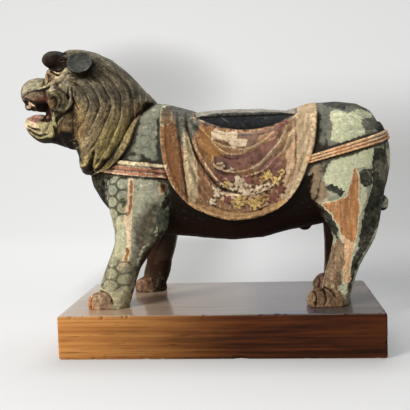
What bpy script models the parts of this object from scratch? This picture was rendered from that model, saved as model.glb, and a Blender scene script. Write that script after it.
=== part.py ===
# A standing lion carved from one block of wood, on a plain hardwood plinth. It has an open mouth, a mane of long
# locks, a breast strap, a breeching strap and a saddle cloth that hangs in swags. Metres, +Z up, nose to -X.
# The origin is the middle of the plinth's underside.

import math

import bmesh
import bpy
import numpy as np
from mathutils import Matrix, Vector

# Driving sizes
LION_LENGTH = 0.548  # nose to tail
TOE_MARGIN = 0.030  # plinth in front of the front toes
HEEL_MARGIN = 0.046  # plinth behind the hind heels
SIDE_MARGIN = 0.037  # plinth beside the paws
PLINTH_HEIGHT = 0.0615
PLINTH_EDGE = 0.0015  # worn edges of the plinth
FOOT_GAP = 0.0003  # the paws only stand on the plinth

# The carver's grid divides the lion's length in 548 parts. Every place and size on the lion is in these parts,
# from the nose end at -298 to the tail end at 250, with the soles at 61.5.
NOSE_X = -298
TAIL_X = 250
PART = LION_LENGTH / (TAIL_X - NOSE_X)
TOE_X = -195
HEEL_X = 179
PAW_Y = 78
SOLE_Z = 61.5

# How finely the lion is worked
VOXEL = 2.6
SMOOTH_PASSES = 4
TRIANGLES = 9600

# Depths of the carving
CLOTH_RISE = 3.6
FOLD_RISE = 3.2
STRAP_RISE = 3.0
RIB_RISE = 1.8
MANE_RISE = 6.0
LOCK_DEPTH = 3.4
SEAT_LIP = 2.2

PAINT = (0.36, 0.38, 0.32)
MAHOGANY = (0.30, 0.12, 0.045)

# Outlines seen from the side, as (x, z)
MANE = [
    (-240, 424), (-231, 438), (-212, 441), (-184, 436), (-158, 425), (-130, 401), (-104, 371), (-89, 355),
    (-107, 343), (-117, 320), (-126, 293), (-143, 271), (-166, 257), (-188, 252), (-204, 254), (-210, 265),
    (-207, 281), (-217, 298), (-231, 325), (-238, 362), (-243, 400),
]
LOCK_CENTRE = (-226, 356)
LOCKS = 5.5
LOCK_SOFTENING = [(i, math.exp(-((i / 9) ** 2))) for i in range(-16, 17)]
FACE_REACH = 26  # from the locks' centre to the first lock
EAR = (-192, 46, 405)
EAR_RADIUS = 19
FACE = [
    (-330, 470), (-250, 455), (-222, 430), (-216, 400), (-211, 372), (-209, 348), (-211, 322), (-217, 300),
    (-238, 280), (-330, 280),
]
JAW = [
    (-292, 335), (-287, 341), (-276, 340), (-263, 336), (-248, 341), (-228, 340), (-214, 312), (-212, 290),
    (-232, 294), (-252, 301), (-268, 302), (-282, 311), (-292, 325),
]
CLOTH = [
    (-78, 372), (-81, 315), (-77, 273), (-70, 247), (-60, 227), (-43, 208), (-25, 197), (-4, 188), (23, 183),
    (51, 186), (79, 196), (100, 212), (115, 233), (126, 260), (134, 281), (139, 308), (142, 340), (140, 372),
    (116, 372), (114, 332), (103, 325), (75, 314), (40, 310), (5, 315), (-16, 323), (-34, 331), (-40, 372),
]
# Swag curves run from the cloth's upper edge to its hem: (middle x, top z, reach to the front, to the rear, drop)
SWAG_TOP = (40, 333, 76, 76, 23)
SWAG_HEM = (20, 338, 76, 122, 155)
SWAG_FOLDS = 4.3
SWAG_START = 0.18
GATHER_FADE = (345, 300)
CLOTH_TOP_FADE = (325, 335)
FLAP_EDGE = [(-47, 372), (-46, 320), (-44, 280), (-41, 240), (-42, 200)]
FLAP_GROOVE = 3.0
FLAP_GROOVE_FADE = (195, 230)
# Where a raised edge starts and where it is full, along x or z
MANE_EDGE_FADE_Z = (350, 300)
MANE_EDGE_FADE_X = (-215, -175)
MANE_CREST_FADE = (330, 370)
SEAT_FRONT_FADE = (-34, -22)
SEAT_REAR_FADE = (117, 108)
SEAT_Z = 331.5
BREAST_STRAP_FADE_X = (-60, -80)
BREAST_STRAP_FADE_Y = (28, 40)
BREECHING_FADE = (120, 130)
# Swellings of the trunk and the haunches: centre, radii, turn in degrees
SHOULDER = ((-118, 34, 232), (46, 36, 66), 8)
HAUNCH = ((178, 36, 262), (60, 37, 74), -8)
BELLY_KNOB = ((124, 0, 169), (10, 12, 8), 0)
TAIL = [(232, 0, 318), (238, 0, 290), (239, 0, 262), (235, 0, 236), (230, 0, 212), (232, 0, 194)]
TAIL_THICK = 11
TAIL_TIP = ((238, 0, 199), (9, 10, 12), 0)

# Trunk sections: x, lowest z, highest z, half width
TRUNK = [
    (-193, 240, 268, 14), (-188, 228, 290, 30), (-175, 207, 322, 44), (-156, 184, 345, 53),
    (-125, 164, 352, 58), (-92, 158, 356, 61), (-62, 157, 349, 61), (-28, 153, 339, 60), (20, 149, 341, 60),
    (62, 152, 340, 61), (100, 162, 336, 64), (134, 168, 348, 69), (170, 175, 349, 70), (200, 180, 345, 64),
    (220, 186, 335, 52), (233, 200, 315, 38), (239, 222, 298, 22),
]
# Mane sections, from the crown down: z, front x, rear x, middle y, half width
MANE_SECTIONS = [
    (439, -222, -200, 0, 12), (434, -230, -184, 0, 25), (423, -230, -158, 0, 35), (406, -226, -137, 0, 42),
    (389, -222, -121, 0, 46), (370, -219, -104, 0, 50), (357, -218, -92, 0, 54), (340, -218, -106, 0, 57),
    (320, -218, -116, 0, 59), (300, -216, -125, 0, 60), (280, -208, -138, 0, 58), (266, -208, -152, 0, 51),
    (256, -205, -168, 0, 40), (252, -200, -178, 0, 30),
]
# Leg sections, from the top down: z, front x, rear x, middle y, half width
NEAR_FRONT_LEG = [
    (262, -150, -84, -42, 24), (240, -161, -74, -44, 27), (217, -162, -69, -46, 27), (197, -158, -70, -48, 26),
    (172, -152, -76, -50, 25), (155, -152, -88, -52, 23), (136, -159, -103, -53, 22), (118, -166, -115, -54, 20),
    (100, -173, -122, -55, 20), (84, -178, -127, -56, 20), (56, -180, -136, -56, 20),
]
FAR_FRONT_LEG = [
    (262, -150, -84, 42, 24), (240, -158, -74, 44, 27), (217, -156, -68, 46, 27), (197, -148, -68, 49, 26),
    (172, -138, -70, 52, 25), (153, -131, -73, 54, 23), (134, -126, -77, 56, 21), (110, -125, -85, 58, 20),
    (91, -131, -88, 58, 20), (56, -134, -102, 58, 20),
]
NEAR_HIND_LEG = [
    (305, 140, 226, -36, 30), (280, 128, 236, -38, 34), (256, 127, 239, -40, 34), (232, 126, 236, -42, 33),
    (208, 130, 231, -44, 30), (190, 143, 228, -46, 27), (170, 157, 224, -48, 24), (155, 161, 219, -51, 22),
    (136, 157, 208, -53, 20), (117, 152, 197, -54, 19), (100, 147, 191, -55, 19), (84, 143, 186, -56, 19),
    (56, 143, 178, -56, 19),
]
FAR_HIND_LEG = [
    (305, 140, 226, 36, 30), (280, 128, 236, 38, 34), (256, 127, 239, 40, 34), (232, 126, 236, 42, 33),
    (208, 130, 231, 45, 30), (190, 143, 228, 48, 27), (168, 155, 224, 51, 24), (138, 157, 213, 55, 21),
    (107, 157, 202, 58, 19), (88, 156, 198, 59, 19), (56, 156, 192, 59, 19),
]
# Paws: toe end x, heel end x, middle y
PAWS = [(-195, -142, -56), (-147, -100, 58), (121, 168, -57), (138, 184, 59)]
PAW_TOP = 84
PAW_HALF_WIDTH = 21
TOES = 3

# Strap bands: where they start and end in x, and their lower and upper edges there
BREAST_STRAP = (-230, 262, 284, -66, 244, 265)
BREECHING = (128, 261, 273, 240, 290, 305)
RIBS = 3


def clear_scene():
    for obj in list(bpy.data.objects):
        bpy.data.objects.remove(obj)


def material(name, colour, roughness):
    made = bpy.data.materials.new(name)
    made.use_nodes = True
    shader = made.node_tree.nodes["Principled BSDF"]
    shader.inputs["Base Color"].default_value = (*colour, 1)
    shader.inputs["Roughness"].default_value = roughness
    shader.inputs["Metallic"].default_value = 0
    made.diffuse_color = (*colour, 1)
    return made


# Rough shapes. Each adds one closed skin to the block.


def skin(block, rings):
    """A closed skin through rings of points: an end face pushed on from each ring to the next."""
    circle = bmesh.ops.create_circle(block, cap_ends=True, segments=len(rings[0]), radius=1)
    end = circle["verts"][0].link_faces[0]
    for i, ring in enumerate(rings):
        if i:
            pushed = bmesh.ops.extrude_face_region(block, geom=[end])["geom"]
            if i > 1:
                bmesh.ops.delete(block, geom=[end], context="FACES_ONLY")
            end = next(item for item in pushed if isinstance(item, bmesh.types.BMFace))
        for vert, point in zip(end.verts, ring):
            vert.co = point


def oval(centre, across, up, squareness=2.0, segments=36):
    """Points round an oval with these half-axes. Squareness 2 is an ellipse, and more is boxier."""
    centre, across, up = Vector(centre), Vector(across), Vector(up)
    points = []
    for i in range(segments):
        angle = 2 * math.pi * i / segments
        c, s = math.cos(angle), math.sin(angle)
        c = math.copysign(abs(c) ** (2 / squareness), c)
        s = math.copysign(abs(s) ** (2 / squareness), s)
        points.append(centre + across * c + up * s)
    return points


def lump(block, centre, radii, turn=0.0, both=True):
    """An ellipsoid, turned nose down about the side-to-side axis, on one side or on both."""
    for side in (1, -1) if both and centre[1] else (1,):
        place = Matrix.Translation((centre[0], side * centre[1], centre[2]))
        turned = Matrix.Rotation(math.radians(turn), 4, "Y")
        shape = Matrix.Diagonal((*radii, 1))
        bmesh.ops.create_icosphere(block, subdivisions=4, radius=1, matrix=place @ turned @ shape)


def trunk(block, sections):
    rings = []
    for x, low, high, half in sections:
        rings.append(oval((x, 0, (low + high) / 2), (0, half, 0), (0, 0, (high - low) / 2), 2.25))
    skin(block, rings)


def column(block, sections, squareness):
    rings = []
    for z, front, rear, y, half in sections:
        rings.append(oval(((front + rear) / 2, y, z), ((rear - front) / 2, 0, 0), (0, half, 0), squareness))
    skin(block, rings)


def pebble(block, outline, centre, half_width, fullness, layers=14):
    """A form with this side outline, swelling to its half width over the centre."""
    edge = curve_through(outline, closed=True)
    rings = []
    for i in range(layers + 1):
        angle = math.pi * (i / layers - 0.5) * 0.98
        share = abs(math.cos(angle)) ** (2 / fullness)
        y = math.copysign(abs(math.sin(angle)) ** (2 / fullness), angle) * half_width
        rings.append([(centre[0] + (x - centre[0]) * share, y, centre[1] + (z - centre[1]) * share) for x, z in edge])
    skin(block, rings)


def rope(block, path, thick, both=True):
    """A round bar with tapering ends along a path of (x, y, z), on one side or on both."""
    line = curve_through(path)
    for side in (1, -1) if both and path[0][1] else (1,):
        rings = []
        for i, (x, y, z) in enumerate(line):
            before, after = Vector(line[max(i - 1, 0)]), Vector(line[min(i + 1, len(line) - 1)])
            ahead = (after - before).normalized()
            across = ahead.cross((0, 1, 0)).normalized()
            swell = math.sin(math.pi * (i + 0.7) / (len(line) + 0.4)) ** 0.5
            rings.append(oval((x, y, z), across * thick * swell, ahead.cross(across) * -thick * swell, 2, 14))
        for ring in rings:
            for point in ring:
                point.y *= side
        skin(block, rings if side > 0 else rings[::-1])


def stub(block, centre, axis, radius, length, both=True):
    """A short round bar with slightly softened ends, on both sides."""
    for side in (1, -1) if both else (1,):
        ahead = Vector((axis[0], side * axis[1], axis[2])).normalized()
        across = ahead.cross((1, 0, 0)).normalized()
        up = ahead.cross(across)
        middle = Vector((centre[0], side * centre[1], centre[2]))
        rings = []
        for share, grow in ((-0.5, 1.0), (0.35, 1.0), (0.47, 0.95), (0.5, 0.86)):
            rings.append(oval(middle + ahead * length * share, across * radius * grow, up * radius * grow))
        skin(block, rings)


def curve_through(points, closed=False, steps=5):
    """A smooth curve through (a, b) points, as a list of pairs."""
    line = []
    count = len(points)
    for i in range(count if closed else count - 1):
        ids = [i - 1, i, i + 1, i + 2]
        p = [np.array(points[k % count] if closed else points[min(max(k, 0), count - 1)], float) for k in ids]
        for step in range(steps):
            t = step / steps
            line.append(0.5 * (
                2 * p[1] + (p[2] - p[0]) * t + (2 * p[0] - 5 * p[1] + 4 * p[2] - p[3]) * t**2
                + (3 * p[1] - p[0] - 3 * p[2] + p[3]) * t**3
            ))
    if not closed:
        line.append(np.array(points[-1], float))
    return [tuple(float(v) for v in point) for point in line]


# The rough lion, all in parts of the carver's grid


def rough_body(block):
    trunk(block, TRUNK)
    for sections in (NEAR_FRONT_LEG, FAR_FRONT_LEG, NEAR_HIND_LEG, FAR_HIND_LEG):
        column(block, sections, 2.3)
    for centre, radii, turn in (SHOULDER, HAUNCH, BELLY_KNOB):
        lump(block, centre, radii, turn=turn)
    rope(block, TAIL, TAIL_THICK)
    lump(block, TAIL_TIP[0], TAIL_TIP[1], turn=TAIL_TIP[2])


def rough_paws(block):
    for toe, heel, y in PAWS:
        length = heel - toe
        middle = (toe + heel) / 2
        lump(block, (middle + 5, y, SOLE_Z + 4), (length / 2 + 1, PAW_HALF_WIDTH - 1, PAW_TOP - SOLE_Z - 6), both=False)
        for i in range(TOES):
            spread = (i - (TOES - 1) / 2) * PAW_HALF_WIDTH * 0.64
            back = 3 * abs(i - (TOES - 1) / 2)
            lump(block, (toe + 17 + back, y + spread, SOLE_Z + 6), (17, 9, 15), both=False)


def rough_head(block):
    column(block, MANE_SECTIONS, 2.7)
    lump(block, (-214, 0, 384), (43, 43, 48))
    lump(block, (-206, 0, 417), (42, 35, 21))
    lump(block, (-234, 20, 370), (20, 21, 28))
    lump(block, (-216, 16, 328), (24, 26, 38))
    lump(block, (-246, 0, 388), (14, 26, 28))
    # Nose, upper jaw and its teeth
    lump(block, (-271, 0, 376), (27, 27, 24))
    lump(block, (-262, 0, 363), (28, 24, 15))
    lump(block, (-283, 12, 358), (7, 6, 8))
    # Lower jaw and tongue
    pebble(block, JAW, (-258, 322), 27, 2.6)
    lump(block, (-275, 0, 335), (14, 12, 7))
    # Brow, eyes, cheekbone, cheek curl and the folds behind the mouth
    lump(block, (-238, 18, 423), (19.5, 20, 13.5))
    lump(block, (-240, 24, 402), (12, 10, 6), turn=24)
    rope(block, [(-264, 22, 380), (-248, 30, 382), (-235, 36, 388), (-224, 40, 396), (-214, 38, 408)], 6)
    stub(block, (-230, 33, 361), (0, 1, 0), 16.5, 24)
    rope(block, [(-247, 26, 355), (-241, 27, 344), (-239, 27, 334), (-243, 24, 322), (-254, 20, 312)], 5.5)
    rope(block, [(-210, 42, 364), (-219, 40, 351), (-231, 36, 343), (-238, 30, 334)], 6)
    stub(block, EAR, (0.05, 0.78, 0.62), EAR_RADIUS, 32)


def rough_block():
    block = bmesh.new()
    rough_body(block)
    rough_paws(block)
    rough_head(block)
    return block


# Carving. Each cut is a height along the surface's own direction, worked out from the side view (x, z).


def step(value, start, end):
    """0 below start, 1 above end and smooth between."""
    share = np.clip((value - start) / (end - start), 0, 1)
    return share * share * (3 - 2 * share)


def depth_inside(x, z, outline):
    """How far a place is inside a closed outline, and less than 0 outside it."""
    points = np.array(outline, float)
    distance = np.full(len(x), 1e9)
    inside = np.zeros(len(x), bool)
    for (ax, az), (bx, bz) in zip(points, np.roll(points, -1, axis=0)):
        along = ((x - ax) * (bx - ax) + (z - az) * (bz - az)) / ((bx - ax) ** 2 + (bz - az) ** 2)
        along = np.clip(along, 0, 1)
        distance = np.minimum(distance, np.hypot(x - ax - along * (bx - ax), z - az - along * (bz - az)))
        if az != bz:
            crosses = ((az > z) != (bz > z)) & (x < (bx - ax) * (z - az) / (bz - az) + ax)
            inside ^= crosses
    return np.where(inside, distance, -distance)


def lock_share(x, z):
    """0 on the curve where the mane's locks start round the face, and 1 about the mane's outline."""
    edge = np.array(curve_through(MANE, closed=True)) - LOCK_CENTRE
    angles = np.arctan2(edge[:, 1], edge[:, 0])
    order = np.argsort(angles)
    even = np.linspace(-math.pi, math.pi, 180, endpoint=False)
    reach = np.interp(even, angles[order], np.hypot(edge[:, 0], edge[:, 1])[order], period=2 * math.pi)
    softened = sum(np.roll(reach, i) * weight for i, weight in LOCK_SOFTENING) / sum(w for _, w in LOCK_SOFTENING)
    angle = np.arctan2(z - LOCK_CENTRE[1], x - LOCK_CENTRE[0])
    reach = np.interp(angle, even, softened, period=2 * math.pi)
    out = np.hypot(x - LOCK_CENTRE[0], z - LOCK_CENTRE[1])
    return (out - FACE_REACH) / (reach - FACE_REACH)


def swag_share(x, z):
    """0 on the swags' upper curve and 1 on the hem."""
    low, high = np.full(len(x), -0.3), np.full(len(x), 1.4)
    for _ in range(22):
        share = (low + high) / 2
        middle, top, front, rear, drop = (a + (b - a) * share for a, b in zip(SWAG_TOP, SWAG_HEM))
        reach = np.where(x < middle, front, rear)
        beyond = ((x - middle) / reach) ** 2 + (np.maximum(top - z, 0) / np.maximum(drop, 1)) ** 2 > 1
        low = np.where(beyond, share, low)
        high = np.where(beyond, high, share)
    return (low + high) / 2


def strap_band(x, z, strap):
    """0 on the strap's lower edge and 1 on its upper edge, and whether it's on the strap."""
    start, low_start, high_start, end, low_end, high_end = strap
    along = (x - start) / (end - start)
    low = low_start + (low_end - low_start) * along
    high = high_start + (high_end - high_start) * along
    return (z - low) / (high - low), high - low


def strap_cut(x, z, strap, soft):
    share, width = strap_band(x, z, strap)
    on = step(share * width, -soft, soft) * step((1 - share) * width, -soft, soft)
    ribs = np.abs(np.sin(math.pi * RIBS * np.clip(share, 0, 1)))
    return on, on * (STRAP_RISE + RIB_RISE * (ribs - 0.6))


def cloth_cut(x, z, soft):
    depth = depth_inside(x, z, curve_through(CLOTH, closed=True, steps=3))
    on = step(depth, -soft, soft)
    share = swag_share(x, z)
    flap = np.interp(z, [p[1] for p in reversed(FLAP_EDGE)], [p[0] for p in reversed(FLAP_EDGE)])
    on_swag = step(x, flap, flap + 6)
    fold = np.sin(2 * math.pi * (share * SWAG_FOLDS + SWAG_START))
    fold = np.where(fold > 0, fold, fold * 0.7) * (0.55 + 0.45 * step(share, 0.9, 0.1))
    gather = step(z, *GATHER_FADE)
    hem = step(depth, 9, 4) * 1.2
    groove = -FLAP_GROOVE * np.exp(-(((x - flap) / FLAP_GROOVE) ** 2)) * step(z, *FLAP_GROOVE_FADE)
    return on, on * (CLOTH_RISE + on_swag * gather * FOLD_RISE * fold * step(depth, 2, 12) + hem + groove)


def mane_cut(x, y, z, facing, soft):
    share = lock_share(x, z)
    on = step(depth_inside(x, z, curve_through(MANE, closed=True)), -soft, soft)
    on = on * step(depth_inside(x, z, curve_through(FACE, closed=True, steps=3)), soft, -soft)
    ear = np.sqrt((x - EAR[0]) ** 2 + (np.abs(y) - EAR[1] - 6) ** 2 + (z - EAR[2] - 3) ** 2)
    on = on * step(ear, EAR_RADIUS + 2, EAR_RADIUS + 9)
    lock = np.abs(np.sin(math.pi * LOCKS * share)) ** 0.8
    sideways = step(np.abs(facing), 0.2, 0.6)
    edge = step(z, *MANE_EDGE_FADE_Z) * step(x, *MANE_EDGE_FADE_X) * sideways
    cut = (1 - lock) * step(share, 0.02, 0.15) * np.maximum(sideways, step(z, *MANE_CREST_FADE))
    return on, on * (MANE_RISE * edge - LOCK_DEPTH * cut)


def seat_cut(x, z, soft):
    along = step(x, *SEAT_FRONT_FADE) * step(x, *SEAT_REAR_FADE)
    return along * SEAT_LIP * step(z, SEAT_Z - soft, SEAT_Z + soft)


def carve(points, normals, soft):
    """How far each point of the lion is pushed out, from its place and direction."""
    x, y, z = points.T
    outward = step(normals[:, 1] * np.sign(y), -0.45, 0.05)
    level = step(normals[:, 2], 0.3, 0.8)
    outward = np.maximum(outward, level)
    cloth_on, cloth = cloth_cut(x, z, soft)
    cloth = cloth * (1 - 0.8 * level * step(z, *CLOTH_TOP_FADE))
    mane_on, mane = mane_cut(x, y, z, normals[:, 1], soft)
    front_on, front = strap_cut(x, z, BREAST_STRAP, soft)
    rear_on, rear = strap_cut(x, z, BREECHING, soft)
    bare = (1 - cloth_on) * (1 - mane_on)
    front = front * step(x, *BREAST_STRAP_FADE_X) * step(np.abs(y), *BREAST_STRAP_FADE_Y)
    rear = rear * step(x, *BREECHING_FADE)
    push = outward * (cloth + mane * (1 - cloth_on) + seat_cut(x, z, soft) * (1 - cloth_on))
    return push + bare * (front * outward + rear * np.maximum(outward, step(normals[:, 0], 0.2, 0.6)))


# From the block to the finished solids


def evaluated(mesh, settings):
    """The mesh after these modifiers, each given as (type, its settings)."""
    holder = bpy.data.objects.new("holder", mesh)
    bpy.context.scene.collection.objects.link(holder)
    for kind, values in settings:
        modifier = holder.modifiers.new(kind, kind)
        for name, value in values.items():
            setattr(modifier, name, value)
    graph = bpy.context.evaluated_depsgraph_get()
    made = bpy.data.meshes.new_from_object(holder.evaluated_get(graph))
    bpy.data.objects.remove(holder)
    return made


def carved(mesh, soft):
    count = len(mesh.vertices)
    points, normals = np.empty(count * 3), np.empty(count * 3)
    mesh.vertices.foreach_get("co", points)
    mesh.vertices.foreach_get("normal", normals)
    points, normals = points.reshape(-1, 3), normals.reshape(-1, 3)
    points += normals * carve(points, normals, soft)[:, None]
    mesh.vertices.foreach_set("co", points.ravel())
    mesh.update()


def flat_soles(mesh):
    """Planes the paws off level, and closes the cuts."""
    block = bmesh.new()
    block.from_mesh(mesh)
    everything = block.verts[:] + block.edges[:] + block.faces[:]
    cut = bmesh.ops.bisect_plane(
        block, geom=everything, dist=1e-4, plane_co=(0, 0, SOLE_Z), plane_no=(0, 0, -1), clear_outer=True
    )
    rims = [item for item in cut["geom_cut"] if isinstance(item, bmesh.types.BMEdge)]
    bmesh.ops.holes_fill(block, edges=rims, sides=0)
    bmesh.ops.triangulate(block, faces=block.faces[:])
    bmesh.ops.recalc_face_normals(block, faces=block.faces[:])
    block.to_mesh(mesh)
    block.free()


def lion():
    block = rough_block()
    mesh = bpy.data.meshes.new("rough lion")
    block.to_mesh(mesh)
    block.free()
    remesh = ("REMESH", {"mode": "VOXEL", "voxel_size": VOXEL, "use_smooth_shade": True})
    smooth = ("SMOOTH", {"factor": 0.5, "iterations": SMOOTH_PASSES})
    mesh = evaluated(mesh, [remesh, smooth])
    carved(mesh, VOXEL / 2)
    mesh = evaluated(mesh, [("DECIMATE", {"ratio": TRIANGLES / (2 * len(mesh.polygons))})])
    flat_soles(mesh)
    middle = (TOE_X + HEEL_X) / 2
    shift = ((TOE_MARGIN - HEEL_MARGIN) / 2 - middle * PART, 0, PLINTH_HEIGHT + FOOT_GAP - SOLE_Z * PART)
    mesh.transform(Matrix.Diagonal((PART, PART, PART, 1)))
    made = bpy.data.objects.new("lion", mesh)
    made.location = shift
    mesh.materials.clear()
    mesh.materials.append(material("painted wood", PAINT, 0.6))
    bpy.context.scene.collection.objects.link(made)
    print("lion", len(mesh.polygons), "triangles")


def plinth():
    length = TOE_MARGIN + (HEEL_X - TOE_X) * PART + HEEL_MARGIN
    width = 2 * (PAW_Y * PART + SIDE_MARGIN)
    block = bmesh.new()
    size = Matrix.Diagonal((length, width, PLINTH_HEIGHT, 1))
    bmesh.ops.create_cube(block, size=1, matrix=Matrix.Translation((0, 0, PLINTH_HEIGHT / 2)) @ size)
    edges = [e for e in block.edges if max(v.co.z for v in e.verts) > PLINTH_HEIGHT / 2]
    bmesh.ops.bevel(block, geom=edges, offset=PLINTH_EDGE, segments=3, profile=0.5, affect="EDGES")
    mesh = bpy.data.meshes.new("plinth")
    block.to_mesh(mesh)
    block.free()
    mesh.materials.append(material("mahogany", MAHOGANY, 0.35))
    bpy.context.scene.collection.objects.link(bpy.data.objects.new("plinth", mesh))


clear_scene()
lion()
plinth()
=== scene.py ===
import math

import bmesh
import bpy
import numpy as np
from mathutils import Matrix, Vector, noise


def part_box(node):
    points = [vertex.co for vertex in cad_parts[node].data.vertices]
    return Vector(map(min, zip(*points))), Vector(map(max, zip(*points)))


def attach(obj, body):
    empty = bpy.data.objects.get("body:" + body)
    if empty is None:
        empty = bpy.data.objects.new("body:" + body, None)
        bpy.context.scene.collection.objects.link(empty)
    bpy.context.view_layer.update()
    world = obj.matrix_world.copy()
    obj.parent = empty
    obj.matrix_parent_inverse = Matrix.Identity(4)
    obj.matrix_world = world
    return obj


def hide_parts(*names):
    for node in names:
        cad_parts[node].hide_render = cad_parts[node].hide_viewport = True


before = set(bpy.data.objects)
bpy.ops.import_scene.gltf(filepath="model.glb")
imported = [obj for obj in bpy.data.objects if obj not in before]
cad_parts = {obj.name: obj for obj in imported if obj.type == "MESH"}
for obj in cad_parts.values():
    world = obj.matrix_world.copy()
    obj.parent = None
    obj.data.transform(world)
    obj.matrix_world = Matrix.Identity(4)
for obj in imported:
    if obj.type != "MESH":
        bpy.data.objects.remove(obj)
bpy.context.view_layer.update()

# The lion is carved in millimetres, nose to -X, with its soles at 61.5, and is brought to metres at the end.
carving = {
    "voxel": 1.35,
    "smoothPasses": 9,
    "triangles": 196000,
    "soleZ": 61.5,
    "footGap": 0.3,
    "clothRise": 3.6,
    "foldRise": 1.0,
    "strapRise": 3.0,
    "ribRise": 1.8,
    "maneRise": 6.0,
    "lockDepth": 2.2,
    "strandDepth": 0.2,
    "seatLip": 2.2,
    "seatZ": 331.5,
    "toolMarks": 0.28,
}

# Side views as (x, z)
crest = [(-240, 424), (-231, 438), (-212, 441), (-184, 436), (-158, 425), (-130, 401), (-104, 371), (-89, 355)]
maneOutline = crest + [
    (-107, 343), (-117, 320), (-126, 293), (-143, 271), (-166, 257), (-188, 252), (-204, 254), (-210, 265),
    (-207, 281), (-217, 298), (-231, 325), (-238, 362), (-243, 400),
]
faceOutline = [
    (-330, 470), (-250, 455), (-222, 430), (-216, 400), (-211, 372), (-209, 348), (-211, 322), (-217, 300),
    (-238, 280), (-330, 280),
]
jawOutline = [
    (-292, 335), (-287, 341), (-276, 340), (-263, 336), (-248, 341), (-228, 340), (-214, 312), (-212, 290),
    (-232, 294), (-252, 301), (-268, 302), (-282, 311), (-292, 325),
]
clothOutline = [
    (-78, 372), (-81, 315), (-77, 273), (-70, 247), (-60, 227), (-43, 208), (-25, 197), (-4, 188), (23, 183),
    (51, 186), (79, 196), (100, 212), (115, 233), (126, 260), (134, 281), (139, 308), (142, 340), (140, 372),
    (116, 372), (114, 332), (103, 325), (75, 314), (40, 310), (5, 315), (-16, 323), (-34, 331), (-40, 372),
]
flapEdge = [(-42, 200), (-41, 240), (-44, 280), (-46, 320), (-47, 372)]
locks = {
    "centre": (-226, 356), "count": 6, "strands": 31, "faceReach": 26, "softening": 9,
    "outline": crest + [
        (-102, 343), (-112, 320), (-122, 293), (-138, 266), (-156, 240), (-182, 214), (-218, 200),
        (-246, 214), (-256, 250), (-252, 290), (-246, 330), (-241, 362), (-243, 400),
    ],
}
swags = {"top": (40, 333, 76, 76, 23), "hem": (20, 338, 76, 122, 155), "folds": 4.3}
ear = {"centre": (-192, 49, 408), "axis": (0.05, 0.85, 0.53), "radius": 19, "base": 0.5, "length": 25}
curl = {"centre": (-230, 361), "radius": 15.5}
breastStrap = (-230, 262, 284, -66, 244, 265)  # front x, lower and upper edge there, rear x and its edges
breeching = (128, 261, 273, 240, 290, 305)

# x, lowest z, highest z, half width
trunkSections = [
    (-193, 240, 268, 14), (-188, 228, 290, 30), (-175, 207, 322, 44), (-156, 184, 345, 53),
    (-125, 164, 352, 58), (-92, 158, 356, 61), (-62, 157, 349, 61), (-28, 153, 339, 60), (20, 149, 341, 60),
    (62, 152, 340, 61), (100, 162, 336, 64), (134, 168, 348, 69), (170, 175, 349, 70), (200, 180, 345, 64),
    (220, 186, 335, 52), (233, 200, 315, 38), (239, 222, 298, 22),
]
# z, front x, rear x, middle y, half width, from the top down
maneSections = [
    (439, -222, -200, 0, 12), (434, -230, -184, 0, 25), (423, -230, -158, 0, 35), (406, -226, -137, 0, 42),
    (389, -222, -121, 0, 46), (370, -219, -104, 0, 50), (357, -218, -92, 0, 54), (340, -218, -106, 0, 57),
    (320, -218, -116, 0, 59), (300, -216, -125, 0, 60), (280, -208, -138, 0, 58), (266, -208, -152, 0, 51),
    (256, -205, -168, 0, 40), (252, -200, -178, 0, 30),
]
legSections = {
    "near front": [
        (262, -150, -84, -42, 24), (240, -161, -74, -44, 27), (217, -162, -69, -46, 27), (197, -158, -70, -48, 26),
        (172, -152, -76, -50, 25), (155, -152, -88, -52, 23), (136, -159, -103, -53, 22),
        (118, -166, -115, -54, 20), (100, -173, -122, -55, 20), (84, -178, -127, -56, 20), (56, -180, -136, -56, 20),
    ],
    "far front": [
        (262, -150, -84, 42, 24), (240, -158, -74, 44, 27), (217, -156, -68, 46, 27), (197, -148, -68, 49, 26),
        (172, -138, -70, 52, 25), (153, -131, -73, 54, 23), (134, -126, -77, 56, 21), (110, -125, -85, 58, 20),
        (91, -131, -88, 58, 20), (56, -134, -102, 58, 20),
    ],
    "near hind": [
        (305, 140, 226, -36, 30), (280, 128, 236, -38, 34), (256, 127, 239, -40, 34), (232, 126, 236, -42, 33),
        (208, 130, 231, -44, 30), (190, 143, 228, -46, 27), (170, 157, 224, -48, 24), (155, 161, 219, -51, 22),
        (136, 157, 208, -53, 20), (117, 152, 197, -54, 19), (100, 147, 191, -55, 19), (84, 143, 186, -56, 19),
        (56, 143, 178, -56, 19),
    ],
    "far hind": [
        (305, 140, 226, 36, 30), (280, 128, 236, 38, 34), (256, 127, 239, 40, 34), (232, 126, 236, 42, 33),
        (208, 130, 231, 45, 30), (190, 143, 228, 48, 27), (168, 155, 224, 51, 24), (138, 157, 213, 55, 21),
        (107, 157, 202, 58, 19), (88, 156, 198, 59, 19), (56, 156, 192, 59, 19),
    ],
}
paws = {
    "places": [(-195, -142, -56), (-147, -100, 58), (121, 168, -57), (138, 184, 59)],
    "top": 84, "halfWidth": 21,
}

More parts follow.
